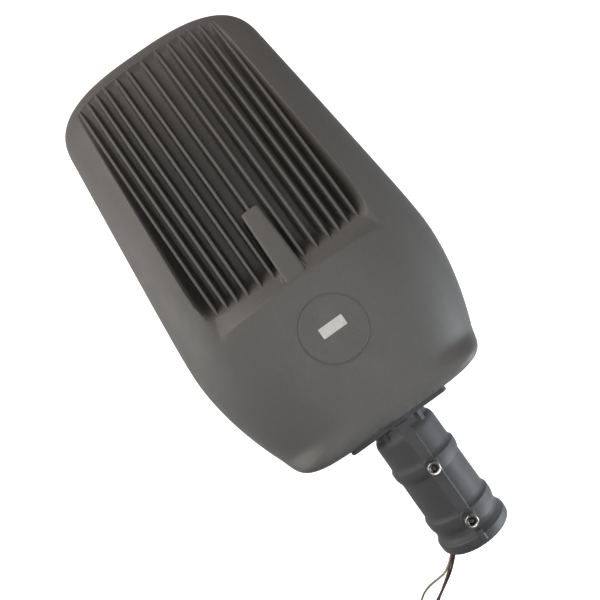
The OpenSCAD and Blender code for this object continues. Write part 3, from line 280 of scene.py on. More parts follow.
core_looks = {
    "core_earth": (-1, pvc("earth_pvc", (0.46, 0.46, 0.20), (0.20, 0.24, 0.12)), "core_green_pvc"),
    "core_brown": (0, pvc("brown_pvc", (0.13, 0.066, 0.062)), "core_brown_pvc"),
    "core_blue": (1, pvc("blue_pvc", (0.030, 0.032, 0.078)), "core_blue_pvc"),
}
metal = {"Metallic": 1.0}
copper = finish("copper", (0.72, 0.36, 0.20), 0.3, wear=(2500, 0.22, 0.42), grain=(3500, 0.00003, 0.4),
                settings=metal)
strand_count = 7
strand_radius, strand_lay, strand_turn = 0.24 * MM, 0.48 * MM, 1.8
for core, free_run in free_runs.items():
    way_off, insulation, slot_name = core_looks[core]
    line = smooth_route([(way_off * x, y, z) for x, y, z in bore_run] + free_run) * MM
    piece = sweep(core + "_wire", [line], core_diameter / 2, insulation, sides=16)
    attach(piece, "lamp")
    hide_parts(core)
    end = line[-1]
    way = (end - line[-2]) / np.linalg.norm(end - line[-2])
    side = np.cross(way, (0.0, 0.0, 1.0))
    side /= np.linalg.norm(side)
    up = np.cross(way, side)
    steps = np.linspace(-0.2, 1, 14)[:, None]
    strands = []
    for k in range(strand_count):
        lay = strand_lay if k else 0
        turn = 2 * math.pi * k / (strand_count - 1) + steps * strand_turn
        strands.append(end + steps * bare_length * way + lay * (np.cos(turn) * side + np.sin(turn) * up))
    bare = sweep(core + "_strands", strands, strand_radius, copper, sides=8)
    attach(bare, "lamp")
    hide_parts("core_ends")
    length = float(np.linalg.norm(np.diff(line, axis=0), axis=1).sum())

# Cast housing, the outer skin. One aluminium die casting, powder-coated dark grey with a fine texture: a domed
# roof that falls to the nose, with a sunken field of fins in front of a flat plateau and its round pad.
rear_y = 141.1
body_w, body_l = 308.2, 500.0
widest_y, side_taper, side_ease, rear_curve = 162.0, 0.0934, 1.2, 0.0016
nose_round, nose_power = 65.7, 2.77
rear_round, rear_power = 31.0, 4.9
nose_start = body_l - nose_round
crown_z, nose_drop, rear_drop = 41.0, 46.9, 6.9
crown_y = widest_y - 13
edge_z, rim_z = 28.0, 45.0
roof_power, roof_exp, rear_boxiness = 3.0, 0.4545, 20.0
field_start, field_end = 168.4, body_l - 20
field_half_w, floor_z = 103.0, 13.0
ramp_rise = crown_z + 0.5 + floor_z
floor_places = ([field_start + d for d in (-400, -3, 0, 12.5, 23.5, 30.5, 36.5, 42.5, 50.5, 60.5)]
                + [field_end + d for d in (-25, -15, -7, 0, 6, 40)])
floor_rises = [ramp_rise + 8, ramp_rise + 8] + [ramp_rise * s for s in (1, 0.88, 0.745, 0.5, 0.24, 0.092, 0.02, 0)]
floor_rises += [0, 1.2, 4, 8.5, 17, 60]
width_places = [field_start + d for d in (-2, 3.5, 24.5, 37.5, 46.5, 59.5, 120.5)] + [field_end - 7, field_end + 6]
width_changes = [-3.2, -3.3, -3.5, -1.2, -0.2, 0, -2.8, -11.1, -12]
lean_places = [field_start + d for d in (0, 24, 37, 47)] + [field_end + d for d in (-40, -7, 6)]
leans = [1.5, 6.5, 8, 8, 8, 3, 2]
ramp_start, ramp_bow, ramp_foot = 174.0, 6.0, field_start + 24
ramp_foot_z, tub_round, blend_least, blend_more = 27.1, 1.4, 0.5, 3.5
pad_r, pad_y, pad_rise, groove_deep = 35.25, 113.0, 0.25, 0.8


def eased(at, places, values, soft):
    """A value read from a few places, with the corners between them rounded."""
    return sum(np.interp(at + s, places, values) for s in np.linspace(-soft, soft, 7)) / 7


def half_width(y):
    behind = widest_y - y
    front = body_w / 2 + side_ease + side_taper * behind
    rear = body_w / 2 + side_ease - rear_curve * behind * abs(behind)
    return (front + rear) / 2 - np.sqrt(((front - rear) / 2) ** 2 + side_ease**2)


def crown(y):
    nose = crown_z - nose_drop * ((y - crown_y) / (body_l - crown_y)) ** 2
    rear = crown_z - rear_drop * ((crown_y - y) / crown_y) ** 2
    return np.where(y > crown_y, nose, rear)


def share_out(x, y):
    """How far a point lies from the middle line to the outline, from 0 to 1."""
    u = abs(x) / half_width(y)
    n = np.maximum(0, (y - nose_start) / nose_round)
    r = np.maximum(0, (rear_round - y) / rear_round)
    nose = (u**nose_power + n**nose_power) ** (1 / nose_power)
    rear = (u**rear_power + r**rear_power) ** (1 / rear_power)
    return np.where(n > 0, nose, np.where(r > 0, rear, u))


def dome(y, share):
    boxiness = np.minimum(1, np.maximum(0, (rear_round - y) / rear_round)) ** 2
    power = roof_power + rear_boxiness * boxiness
    return -edge_z + (crown(y) + edge_z) * np.maximum(0, 1 - np.minimum(1, share) ** power) ** roof_exp


def roof(x, y):
    return dome(y, share_out(x, y))


def field_floor(x, y):
    """The ramp from the roof down into the field, its level floor and its rise to the nose."""
    level = -floor_z + eased(y, floor_places, floor_rises, 1.6)
    start = ramp_start - ramp_bow * (x / field_half_w) ** 2
    high = roof(np.minimum(abs(x), field_half_w), start) + 0.4
    ramp = ramp_foot_z + (high - ramp_foot_z) * (ramp_foot - y) / (ramp_foot - start)
    return np.where(y < ramp_foot, ramp, level)


def field_edge(y):
    """Half width of the fin field at the top of its side walls, and how far those lean in."""
    return field_half_w + eased(y, width_places, width_changes, 6), eased(y, lean_places, leans, 6)


def tub(x, y):
    """Floor of the fin field with its rounded corners and side walls."""
    width, lean = field_edge(y)
    low = field_floor(x, y)
    rise = np.maximum(0.5, roof(width, y) + 0.2 - low)
    past = (abs(x) - (width - lean)) / tub_round
    return low + rise / lean * tub_round * np.logaddexp(0, past)


def skin(x, y):
    """Height of the outer skin without the fins: the roof, cut by the fin field, with the pad and its groove."""
    width, lean = field_edge(y)
    top, cut = roof(x, y), tub(x, y)
    blend = blend_least + blend_more * np.clip((abs(x) - width + lean + 4) / 4, 0, 1)
    at_nose = np.minimum(blend, blend_least + (field_end + 4 - y) / 44 * blend_more)
    blend = np.maximum(np.where(y > field_end - 40, at_nose, blend), blend_least)
    h = np.clip(0.5 + 0.5 * (cut - top) / blend, 0, 1)
    z = cut + (top - cut) * h - blend * h * (1 - h)
    out = np.hypot(x, y - pad_y)
    pad = pad_rise * (0.5 - 0.5 * np.tanh((out - pad_r + 0.3) / 0.3))
    groove = groove_deep * np.exp(-(((out - pad_r - 0.3) / 0.5) ** 2))
    return z + pad - groove


def field_border(xs, ys):
    """Where the roof meets the fin field's floor on lines along y, within the range of ys."""
    x, y = np.meshgrid(xs, ys, indexing="ij")
    gap = tub(x, y) - roof(x, y)
    change = np.argmax(gap[:, 1:] * gap[:, :-1] < 0, axis=1)
    lines = np.arange(len(xs))
    a, b = gap[lines, change], gap[lines, change + 1]
    return ys[change] + (ys[1] - ys[0]) * a / (a - b)


def bunched(count):
    """Angles from 0 to 90 degrees, in radians, close together at both ends."""
    return np.radians(90 * (0.5 - 0.5 * np.cos(np.pi * np.arange(count + 1) / count)))


def outline(share):
    """A closed level curve at a share of the way out, as points x, y."""
    nose_steps, side_steps, rear_steps = 64, 60, 40
    nose, rear = bunched(nose_steps)[::-1], bunched(rear_steps)
    nose_ys = nose_start + nose_round * share * np.sin(nose) ** (2 / nose_power)
    side_ys = nose_start + (rear_round - nose_start) * np.arange(1, side_steps) / side_steps
    rear_ys = rear_round - rear_round * share * np.sin(rear) ** (2 / rear_power)
    out = [np.cos(nose) ** (2 / nose_power), np.ones(side_steps - 1), np.cos(rear) ** (2 / rear_power)]
    ys = np.concatenate([nose_ys, side_ys, rear_ys])
    half = np.column_stack([half_width(ys) * share * np.concatenate(out), ys])
    half[[0, -1], 0] = 0
    return np.vstack([half, (half * (-1, 1))[-2:0:-1]])


def plan_grid(xs, ys):
    return np.array([(x, y) for y in ys for x in xs])


def skin_points(border):
    """Points in plan for the skin inside the border: close together where it bends."""
    groups = []
    ys = np.arange(field_start + 2, field_end - 3, 3.0)
    width, lean = field_edge(ys)
    foot_lines = [width - lean + off for off in (-7, -4.5, -2.8, -1.6, -0.7, 0.2, 1.2)]
    wall_lines = [width - lean * part for part in (0.6, 0.3)]
    edge_lines = [width + off for off in (-1.0, -0.45, 0, 0.5, 1.2, 2.4, 4.5, 8)]
    for side in (-1, 1):
        groups += [np.column_stack([side * xs, ys]) for xs in foot_lines + wall_lines + edge_lines]
    xs = np.arange(-108, 108.1, 3.0)
    near = (-5, -2.5, -1.2, -0.5, 0, 0.5, 1.2, 2.5, 5)
    rear = field_border(xs, np.arange(160, 225, 0.5))
    groups += [np.column_stack([xs, rear + off]) for off in near]
    front = field_border(xs, np.arange(435, 495, 0.5))
    inside = abs(xs) < 92
    groups += [np.column_stack([xs[inside], front[inside] + off]) for off in (-8, *near)]
    angles = np.radians(np.arange(0, 360, 2.5))
    for r in (33, 34.3, 34.8, 35.05, 35.3, 35.55, 35.8, 36.1, 36.8, 38.5):
        groups.append(np.column_stack([r * np.cos(angles), pad_y + r * np.sin(angles)]))
    features = np.vstack(groups)
    rings = np.vstack([outline(s)[::2] for s in (0.922, 0.905, 0.885, 0.86, 0.83, 0.79, 0.74)])
    ramp = plan_grid(np.arange(-100, 100.1, 5), np.arange(168, 236, 2.5))
    fill = plan_grid(np.arange(-144, 144.1, 6), np.arange(8, 492, 6.0))
    inner = features[share_out(features[:, 0], features[:, 1]) < 0.93]
    fill = fill[share_out(fill[:, 0], fill[:, 1]) < 0.92]
    return thinned([(border, 0), (inner, 0.42), (ramp, 1.3), (rings, 1.8), (fill, 2.8)])


def thinned(groups):
    """Keeps the points of each group that are far enough from those kept before."""
    cell = 3.0
    cells, kept = {}, []
    for points, least in groups:
        for x, y in points:
            column, row = int(x // cell), int(y // cell)
            near = (p for i in (-1, 0, 1) for j in (-1, 0, 1) for p in cells.get((column + i, row + j), ()))
            if least == 0 or all((x - a) ** 2 + (y - b) ** 2 >= least**2 for a, b in near):
                cells.setdefault((column, row), []).append((x, y))
                kept.append((x, y))
    return kept


def in_place(points):
    """From millimetres in the housing's own frame to metres in the part's frame."""
    return (np.asarray(points, float) + (0, rear_y, 0)) * MM


@contextmanager
def edited(mesh):
    """A mesh opened for editing, and written back at the end."""
    build = bmesh.new()
    build.from_mesh(mesh)
    yield build
    build.to_mesh(mesh)
    build.free()


def powder_coat(name, cool, warm_light_tint, roughness):
    """Fine-texture powder coat: small grains, a slight orange peel, faint mottling and a few light rub marks, over
    a painted warm light tint that grows along y.
    """
    material = shader(name, cool, roughness)
    where = object_place(material)
    # Painted light: the coat turns from its own colour to a warmer tint towards the nose, where the warm key light
    # falls.
    along = node(material, "SeparateXYZ", {"Vector": where}).outputs["Y"]
    tone = mixed(material, spread(material, along, 0.2, 0.55), cool, warm_light_tint)
    cloud = noise(material, where, 9, detail=3)
    speck = noise(material, where, 1100)
    rub = noise(material, object_place(material, (1, 0.22, 1)), 95, detail=4, roughness=0.7)
    for share, low, high, most, colour in ((cloud, 0.35, 0.65, 0.35, [c * 1.16 for c in cool]),
                                           (speck, 0.40, 0.70, 0.42, [c * 1.5 for c in cool]),
                                           (rub, 0.72, 0.80, 0.45, (0.32, 0.32, 0.31))):
        tone = mixed(material, spread(material, share, low, high, 0.0, most), tone, colour)
    feed(material, "Base Color", tone)
    worn(material, noise(material, where, 40), roughness - 0.06, roughness + 0.06)
    bumped(material, [(noise(material, where, 420), 0.00012, 0.35), (noise(material, where, 2400), 0.00007, 0.6)])
    return material


coat = powder_coat("housing_powder_coat", (0.128, 0.127, 0.126), (0.128, 0.118, 0.112), 0.5)
skin_edge, wall_drop = 0.935, 16.4
border = outline(skin_edge)
plan = skin_points(border)
flat = geometry.delaunay_2d_cdt([Vector(p) for p in plan], [], [list(range(len(border)))], 1, 1e-7)
flat_points = np.array([tuple(v) for v in flat[0]])
top_points = np.column_stack([flat_points, skin(flat_points[:, 0], flat_points[:, 1])])
# Level curves from the roof's border down to the rim, as (share, height); without a height they lie on the roof.
levels = [(s, None) for s in (skin_edge, 0.95, 0.965, 0.978, 0.988, 0.994, 0.9972, 0.9988, 0.9996, 1.0)]
levels += [(1 - 0.015 * t**1.5, -edge_z - wall_drop * t) for t in (0.15, 0.35, 0.55, 0.75, 0.9, 1.0)]
levels += [(0.9835, -rim_z + 0.25), (0.981, -rim_z + 0.04), (0.972, -rim_z - 0.03)]
rings = []
for share, z in levels:
    ring = outline(share)
    heights = dome(ring[:, 1], share) if z is None else np.full(len(ring), z)
    rings.append(np.column_stack([ring, heights]))
skin_faces = [tuple(f) for f in flat[2]]
skin_faces += [(a, d, c, b) for a, b, c, d in bands(len(rings), len(border), len(top_points))]
skin_piece = add_object("housing_skin", np.vstack([top_points, *rings]) + (0, rear_y, 0), skin_faces, coat)
with edited(skin_piece.data) as build:
    bmesh.ops.remove_doubles(build, verts=build.verts, dist=0.004)
    bmesh.ops.recalc_face_normals(build, faces=build.faces)
skin_piece.data.transform(Matrix.Scale(MM, 4))
smooth(skin_piece, 42)

# Cooling fins of the housing. Thirteen long ribs of the same casting, with draft on their sides, rounded crests
# and a fillet at the foot; their rear ends run out to a point on the ramp behind the field.
fin_places = [19, 35, 51, 63.5, 76, 88.5]
fin_drop, fin_bow = 10.0, 8.5
fin_rear, crest_rear = field_start + 9, field_start + 23.5
duct_front = field_start + 95
crest_profile = [(0, 0, 0), (0.85, 0.03, 0.01), (1.2, 0.12, 0.05), (1.45, 0.36, 0.12), (1.6, 0.9, 0.25)]
foot_profile = [(2.25, 3.6, 0.32), (2.6, 1.7, 0.15), (3.2, 0.65, 0.06), (4.1, 0.15, 0.015), (4.8, -0.25, -0.02)]


def fin_shell(x, rear):
    """One fin as a closed shell: cross-sections from the front end to the rear."""
    front = field_end - fin_bow * (x / fin_places[-1]) ** 2 + 3
    stations = front - (front - rear) * (1 - np.cos(np.linspace(0, np.pi, 90))) / 2
    rows = []
    for y in stations:
        s = np.clip((front - 3 - y) / (front - 3 - crest_rear), 0, None)
        crest = roof(abs(x) + 1.6, y) - fin_drop * min(s, 1.2)
        base = skin(x, y)
        tall = max(crest - base, 0.0)
        slim = float(np.clip((tall + 0.3) / 7, 0.12, 1)) ** 0.55
        right, left = [], []
        for dx, fall, part in crest_profile:
            z = max(crest - min(fall, part * tall), base - 0.6)
            right.append((x + dx * slim, y, z))
            left.append((x - dx * slim, y, z))
        for dx, rise, part in foot_profile:
            lift = min(rise, part * tall) if rise > 0 else rise
            for half, at in ((right, x + dx * slim), (left, x - dx * slim)):
                half.append((at, y, float(skin(at, y)) + lift))
        rows.append(right[::-1] + left[1:])
    return rows


def closed_piece(name, shells, material, angle, shift=0):
    """A piece of closed shells, each given as rings of points in millimetres, moved along y."""
    points, faces = [], []
    for rings in shells:
        faces += lofted(rings, len(points))
        points += [point for ring in rings for point in ring]
    piece = add_object(name, (np.array(points, float) + (0, shift, 0)) * MM, faces, material)
    with edited(piece.data) as build:
        bmesh.ops.recalc_face_normals(build, faces=build.faces)
    smooth(piece, angle)
    return piece


fin_shells = [fin_shell(x, fin_rear) for x in sorted([-p for p in fin_places] + fin_places)]
fin_shells.append(fin_shell(0, duct_front - 2))
fins = closed_piece("housing_fins", fin_shells, coat, 60, rear_y)

# Cable duct of the housing. A tapered block of the casting that stands among the fins behind the middle one and
# hides the lead to the circuit board; its top runs level out of the plateau.
duct_rear_w, duct_front_w, duct_corner, duct_flare = 25.6, 20.6, 2.6, 3.2
duct_round = 3
duct_turn = duct_front - duct_round
duct_rows = []
duct_ys = np.concatenate([np.linspace(field_start - 5, duct_turn, 44),
                          duct_turn + duct_round * np.sin(np.radians([15, 30, 45, 60, 75, 90]))])
for y in duct_ys:
    turn = math.sqrt(max(0, 1 - max(0, (y - duct_turn) / duct_round) ** 2))
    half_w = np.interp(y, [field_start, duct_front], [duct_rear_w / 2, duct_front_w / 2]) - duct_round * (1 - turn)
    flare = duct_flare * np.clip((field_start + 26 - y) / 26, 0, 1) ** 1.5
    top = eased(y, [field_start - 3, field_start + 25, duct_turn, duct_front],
                [crown_z - 0.5, crown_z - 3.5, 30, 29.2], 2) - duct_corner * (1 - turn)
    half = [(0, top), (half_w * 0.6, top)]
    for a in np.radians([0, 18, 36, 54, 72, 90]):
        half.append((half_w - duct_corner * (1 - math.sin(a)), top - duct_corner * (1 - math.cos(a))))
    for dx, rise in ((0.5, 4.5), (0.9, 2.2), (1.7, 0.8), (3.0, 0.1), (4.0, -0.4)):
        z = float(skin(half_w + dx + flare, y)) + rise * turn - (1 - turn) * 0.4
        half.append((half_w + dx * turn + flare, min(z, top - duct_corner) if rise > 0 else z))
    duct_rows.append([(dx, y, z) for dx, z in half[::-1]] + [(-dx, y, z) for dx, z in half[1:]])
duct = closed_piece("housing_duct", [duct_rows], coat, 50, rear_y)


# Inside of the housing. The same casting seen from below: the rim, the ledges of the glass and the door, the
# bosses of the driver bay and the pocket in which the spigot's flange is seated.
weld = 0.000002
side_low, skin_share, clearance = -0.018, 0.972, 0.00004


def copy_of(node_name, name, material):
    """A merged copy of a CAD node's mesh, as a piece of its own."""
    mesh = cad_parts[node_name].data.copy()
    mesh.materials.clear()
    mesh.materials.append(material)
    with edited(mesh) as build:
        bmesh.ops.remove_doubles(build, verts=build.verts, dist=weld)
    return place(name, mesh)


def outside(tree, centre, normal):
    """Whether a face of the solid housing belongs to its outer skin."""
    if tree.ray_cast(centre + normal * clearance, Vector((0, 0, 1)))[0] is None:
        return True
    share = float(share_out(centre.x / MM, centre.y / MM - rear_y))
    return share > skin_share and abs(normal.z) < 0.5 and centre.z < side_low


inside_piece = copy_of("housing", "housing_inside", coat)
inside_piece.data.name = "housing_inside"
with edited(inside_piece.data) as build:
    tree = BVHTree.FromBMesh(build)
    outer = [f for f in build.faces if outside(tree, f.calc_center_median(), f.normal)]
    bmesh.ops.delete(build, geom=outer, context="FACES")
smooth(inside_piece, 28)
for piece in (skin_piece, fins, duct, inside_piece):
    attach(piece, "lamp")
    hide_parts("housing")


# Spigot. A second casting with a slightly cooler coat, bolted to the housing's rear wall: the socket tube with
# its lip, two bands, the top rib with the bosses of the clamp screws, the webs and the flange. Its coat is also
# much darker than the housing's: painted shade from the housing above it.
def add_modifier(piece, kind, **settings):
    made = piece.modifiers.new(kind.lower(), kind)
    for key, value in settings.items():
        setattr(made, key, value)
    return made


def modelled(piece):
    """Replaces a piece's mesh by what its modifiers make of it, and removes them."""
    view = bpy.context.evaluated_depsgraph_get()
    mesh = bpy.data.meshes.new_from_object(piece.evaluated_get(view), depsgraph=view)
    piece.modifiers.clear()
    old = piece.data
    piece.data = mesh
    bpy.data.meshes.remove(old)
    return piece


# Painted shade: the spigot's coat is the housing's paint made much darker, for the housing's shadow over it.
spigot_shaded_coat = powder_coat("spigot_painted_shade_coat", (0.070, 0.071, 0.077), (0.070, 0.070, 0.074), 0.55)
spigot = copy_of("spigot", "spigot_casting", spigot_shaded_coat)
add_modifier(spigot, "REMESH", mode="VOXEL", voxel_size=0.7 * MM, use_smooth_shade=True)
add_modifier(spigot, "SMOOTH", factor=0.5, iterations=3)
add_modifier(spigot, "DECIMATE", ratio=0.45)
modelled(spigot)
spigot.data.shade_smooth()
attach(spigot, "lamp")
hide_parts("spigot")


# Clamp screws. Two stainless M8 socket-head screws that hold the pole: a knurled head with a bevelled rim, a
# hexagon socket whose inside is painted nearly black as shade, and a short thread that shows between the head and
# its boss.
knurl_deep, knurl_teeth = 0.11, 36


def turned(profile, segments):
    """Rings for a turned piece. A profile step is (radius, height), and "knurl" or "hex" if it isn't round."""
    angles = 2 * math.pi * np.arange(segments) / segments
    bend = (angles + math.pi / 6) % (math.pi / 3) - math.pi / 6
    rings = []
    for radius, z, *shape in profile:
        r = np.full(segments, radius)
        if "knurl" in shape:
            r = radius - knurl_deep * (0.5 + 0.5 * np.cos(angles * knurl_teeth)) ** 0.7
        if "hex" in shape:
            r = radius / np.cos(bend)
        rings.append(np.column_stack([r * np.cos(angles), r * np.sin(angles), np.full(segments, z)]))
    return rings


def turned_mesh(name, profile, segments, material, socket_shade_material, socket_from):
    """A turned piece; its faces from one profile step on belong to the socket and take the second finish, the
    socket's painted shade.
    """
    piece = closed_piece(name, [turned(profile, segments)], material, 35)
    piece.data.materials.append(socket_shade_material)
    for face in piece.data.polygons:
        if min(face.vertices) >= socket_from * segments:
            face.material_index = 1
    return piece


def steel(name, colour, roughness):
    """Stainless steel with faint turning marks and a slightly uneven polish, in the colour given: bright, or nearly
    black for painted shade.
    """
    material = shader(name, colour, roughness, metal)
    where = object_place(material)
    worn(material, noise(material, where, 700, detail=3), roughness * 0.8, roughness * 1.5)
    bumped(material, [(noise(material, where, 5200), 0.00002, 0.4)])
    return material


stainless = steel("stainless_steel", (0.52, 0.51, 0.49), 0.22)
# Painted shade: the same steel made nearly black for the inside of the deep hexagon socket.
socket_shade_paint = steel("socket_painted_shade", (0.10, 0.095, 0.09), 0.42)


def thread(radius, low, high, pitch):
    """Profile steps of a thread, as closed grooves."""
    steps = []
    z = low
    while z < high - pitch / 2:
        steps += [(radius - 0.5, z), (radius, z + pitch * 0.35), (radius, z + pitch * 0.6)]
        z += pitch
    return steps


head_low = 43.5
shank = [(0.02, -12), (3.1, -12)] + thread(3.98, -11.3, -0.3, 1.25) + [(3.8, 0)]
head = [(6.2, 0), (6.5, 0.3, "knurl"), (6.5, 7.2, "knurl"), (6.25, 7.75), (5.9, 8), (4.4, 8)]
hexagon = [(4.1, 7.85), (3.05, 7.3, "hex"), (3.0, 3.1, "hex"), (2.4, 2.9), (0.02, 2.2)]
for name, y, turn in (("clamp_screw_inner", 91, 2.17), ("clamp_screw_outer", 31, 0.97)):
    screw = turned_mesh(name + "_steel", shank + head + hexagon, 144, stainless, socket_shade_paint, len(shank + head))
    stand = Matrix.Translation((0, y * MM, head_low * MM))
    screw.data.transform(stand @ Matrix.Rotation(turn, 4, "Z"))
    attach(screw, name)
    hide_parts(name)

# Blank label. A small strip of white film stuck on the pad, with rounded corners, bare.
label_w, label_l, label_y, label_r, film_t, corner_lift, film_gap = 28.0, 11.5, 115.4, 0.7, 0.14, 0.05, 0.04
film = finish("label_film", (0.74, 0.74, 0.72), 0.42,
              tones=(160, 0.35, 0.65, (0.70, 0.70, 0.68), (0.79, 0.79, 0.78)))
bumped(film, [(noise(film, object_place(film, (1, 6, 1)), 900), 0.00004, 0.4)])
strip_x = np.linspace(-label_w / 2, label_w / 2, 29)
strip_y = np.linspace(-label_l / 2, label_l / 2, 13)
strip = []
for x in strip_x:
    for y in strip_y:
        over_x, over_y = abs(x) - label_w / 2 + label_r, abs(y) - label_l / 2 + label_r
        px, py = x, y
        if over_x > 0 and over_y > 0:
            pull = min(1.0, label_r / math.hypot(over_x, over_y))
            px = math.copysign(label_w / 2 - label_r + over_x * pull, x)
            py = math.copysign(label_l / 2 - label_r + over_y * pull, y)
        lift = corner_lift * max(0, x / label_w - 0.3) * max(0, y / label_l + 0.2)
        strip.append((px, label_y + py, float(skin(px, label_y + py)) + film_gap + lift))
rows_y = len(strip_y)
strip_faces = [(i * rows_y + j, (i + 1) * rows_y + j, (i + 1) * rows_y + j + 1, i * rows_y + j + 1)
               for i in range(len(strip_x) - 1) for j in range(rows_y - 1)]
label = add_object("blank_label_film", in_place(strip), strip_faces, film)
add_modifier(label, "SOLIDIFY", thickness=film_t * MM, offset=1)
modelled(label)
smooth(label, 40)
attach(label, "lamp")
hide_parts("blank_label")

# Flange gasket and the other rubber seals. Black EPDM: a flat sheet between the flange and the housing, a cord
# under the glass and one on the door, and the grommet of the cable duct.
rubber = finish("black_rubber", (0.022, 0.022, 0.022), 0.75, wear=(220, 0.66, 0.84),
                tones=(90, 0.3, 0.7, (0.018, 0.018, 0.018), (0.034, 0.033, 0.032)), grain=(1800, 0.00005, 0.5))


def dress(material, *node_names):
    """Gives CAD nodes their finish."""
    for node_name in node_names:
        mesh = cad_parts[node_name].data
        mesh.materials.clear()
        mesh.materials.append(material)


dress(rubber, "flange_gasket", "glass_gasket", "door_gasket", "duct_grommet")


# Glass frame and glass pane. A flat cast ring, coated like the housing, clamps 4 mm toughened glass against its
# seal; twelve pan-head screws hold it.
def softened(node_name, name, material, width, body):
    """A copy of a CAD node with small rounds on its edges, which stands for it."""
    piece = copy_of(node_name, name, material)
    with edited(piece.data) as build:
        bmesh.ops.dissolve_limit(build, angle_limit=math.radians(0.6), verts=build.verts, edges=build.edges)
    add_modifier(piece, "BEVEL", width=width * MM, segments=2, limit_method="ANGLE",
                 angle_limit=math.radians(30))
    modelled(piece)
    smooth(piece, 32)
    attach(piece, body)
    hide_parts(node_name)


softened("glass_frame", "glass_frame_casting", coat, 0.5, "lamp")
glass = shader("toughened_glass", (0.93, 0.975, 0.965), 0.02, {"Transmission Weight": 1.0, "IOR": 1.5})
smears = noise(glass, object_place(glass), 14, detail=4)
feed(glass, "Roughness", spread(glass, smears, 0.45, 0.8, 0.012, 0.1))
dress(glass, "glass_pane")

# Screws of the frame, the lens plates and the bay. Stainless pan-head screws with a cross recess, each left at
# its own angle.
screw_groups = {"frame_screws": (4.0, 4.0, 2.6), "module_screws": (3.0, 2.75, 2.0), "bay_screws": (4.0, 3.8, 2.6)}


def solid_boxes(node_name):
    """Box of each loose solid of a CAD node."""
    build = bmesh.new()
    build.from_mesh(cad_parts[node_name].data)
    bmesh.ops.remove_doubles(build, verts=build.verts, dist=weld)
    left, boxes = set(build.verts), []
    while left:
        stack, seen = [left.pop()], []
        while stack:
            v = stack.pop()
            seen.append(v.co.copy())
            for e in v.link_edges:
                other = e.other_vert(v)
                if other in left:
                    left.remove(other)
                    stack.append(other)
        seen = np.array(seen)
        boxes.append((seen.min(0), seen.max(0)))
    build.free()
    return sorted(boxes, key=lambda b: tuple(np.round(b[0], 6)))


def pan_head(name, thread_r, head_r, head_h, length):
    """A pan-head screw that points up, with its head below z = 0 and a cross recess in the head."""
    segments = 96
    profile = [(0.02, length), (thread_r - 0.5, length), (thread_r, length - 0.8), (thread_r, 0),
               (head_r * 0.97, 0), (head_r, -head_h * 0.2)]
    profile += [(head_r * math.cos(a), -head_h * (0.2 + 0.8 * math.sin(a))) for a in np.radians([20, 40, 55, 68])]
    rings = turned(profile, segments)
    around = 2 * math.pi * np.arange(segments) / segments
    arm = np.maximum(abs(np.cos(2 * around)) ** 6, 0.35)
    for radius, deep in ((head_r * 0.3, 0.0), (head_r * 0.26, 0.45), (0.02, 0.6)):
        r = radius * (0.45 + 1.25 * arm) if radius > 0.1 else np.full(segments, radius)
        z = np.full(segments, -head_h * (1 - deep) + 0.02)
        rings.append(np.column_stack([r * np.cos(around), r * np.sin(around), z]))
    return closed_piece(name, [rings], stainless, 35)


def screw_row_tree():
    """Geometry nodes that set one screw on each point, turned by chance."""
    tree = bpy.data.node_groups.new("screw_row", "GeometryNodeTree")
    for name, kind in (("Points", "NodeSocketGeometry"), ("Screw", "NodeSocketObject"),
                       ("Finish", "NodeSocketMaterial"), ("Largest turn", "NodeSocketFloat"),
                       ("Seed", "NodeSocketInt")):
        tree.interface.new_socket(name, in_out="INPUT", socket_type=kind)
    tree.interface.new_socket("Screws", in_out="OUTPUT", socket_type="NodeSocketGeometry")
    add = tree.nodes.new
    given, result = add("NodeGroupInput"), add("NodeGroupOutput")
    screw, chance = add("GeometryNodeObjectInfo"), add("FunctionNodeRandomValue")
    turn, spots = add("ShaderNodeCombineXYZ"), add("GeometryNodeInstanceOnPoints")
    real, coated = add("GeometryNodeRealizeInstances"), add("GeometryNodeSetMaterial")
    for source, output, target, goal in (
            (given, "Screw", screw, "Object"), (given, "Largest turn", chance, 3), (given, "Seed", chance, "Seed"),
            (chance, 1, turn, "Z"), (given, "Points", spots, "Points"), (screw, "Geometry", spots, "Instance"),
            (turn, "Vector", spots, "Rotation"), (spots, "Instances", real, "Geometry"),
            (real, "Geometry", coated, "Geometry"), (given, "Finish", coated, "Material"),
            (coated, "Geometry", result, "Screws")):
        tree.links.new(source.outputs[output], target.inputs[goal])
    return tree


def set_screws(name, tree, points, screw, material, seed):
    """A row of screws as one plain mesh."""
    piece = add_object(name, points, [], material)
    made = add_modifier(piece, "NODES", node_group=tree)
    values = {"Screw": screw, "Finish": material, "Largest turn": math.tau, "Seed": seed}
    for item in tree.interface.items_tree:
        if item.in_out == "INPUT" and item.name in values:
            made[item.identifier] = values[item.name]
    modelled(piece)
    bpy.data.objects.remove(screw)
    smooth(piece, 35)
    return piece


screw_tree = screw_row_tree()
for seed, (group, (thread_d, head_r, head_h)) in enumerate(screw_groups.items(), 3):
    boxes = solid_boxes(group)
    spots = [((low[0] + high[0]) / 2, (low[1] + high[1]) / 2, low[2] + head_h * MM) for low, high in boxes]
    length = (boxes[0][1][2] - boxes[0][0][2]) / MM - head_h
    screw = pan_head("one_of_" + group, thread_d / 2, head_r, head_h, length)
    row = set_screws(group + "_steel", screw_tree, spots, screw, stainless, seed)
    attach(row, "lamp")
    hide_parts(group)
dress(stainless, "flange_bolts", "hinge_pins")

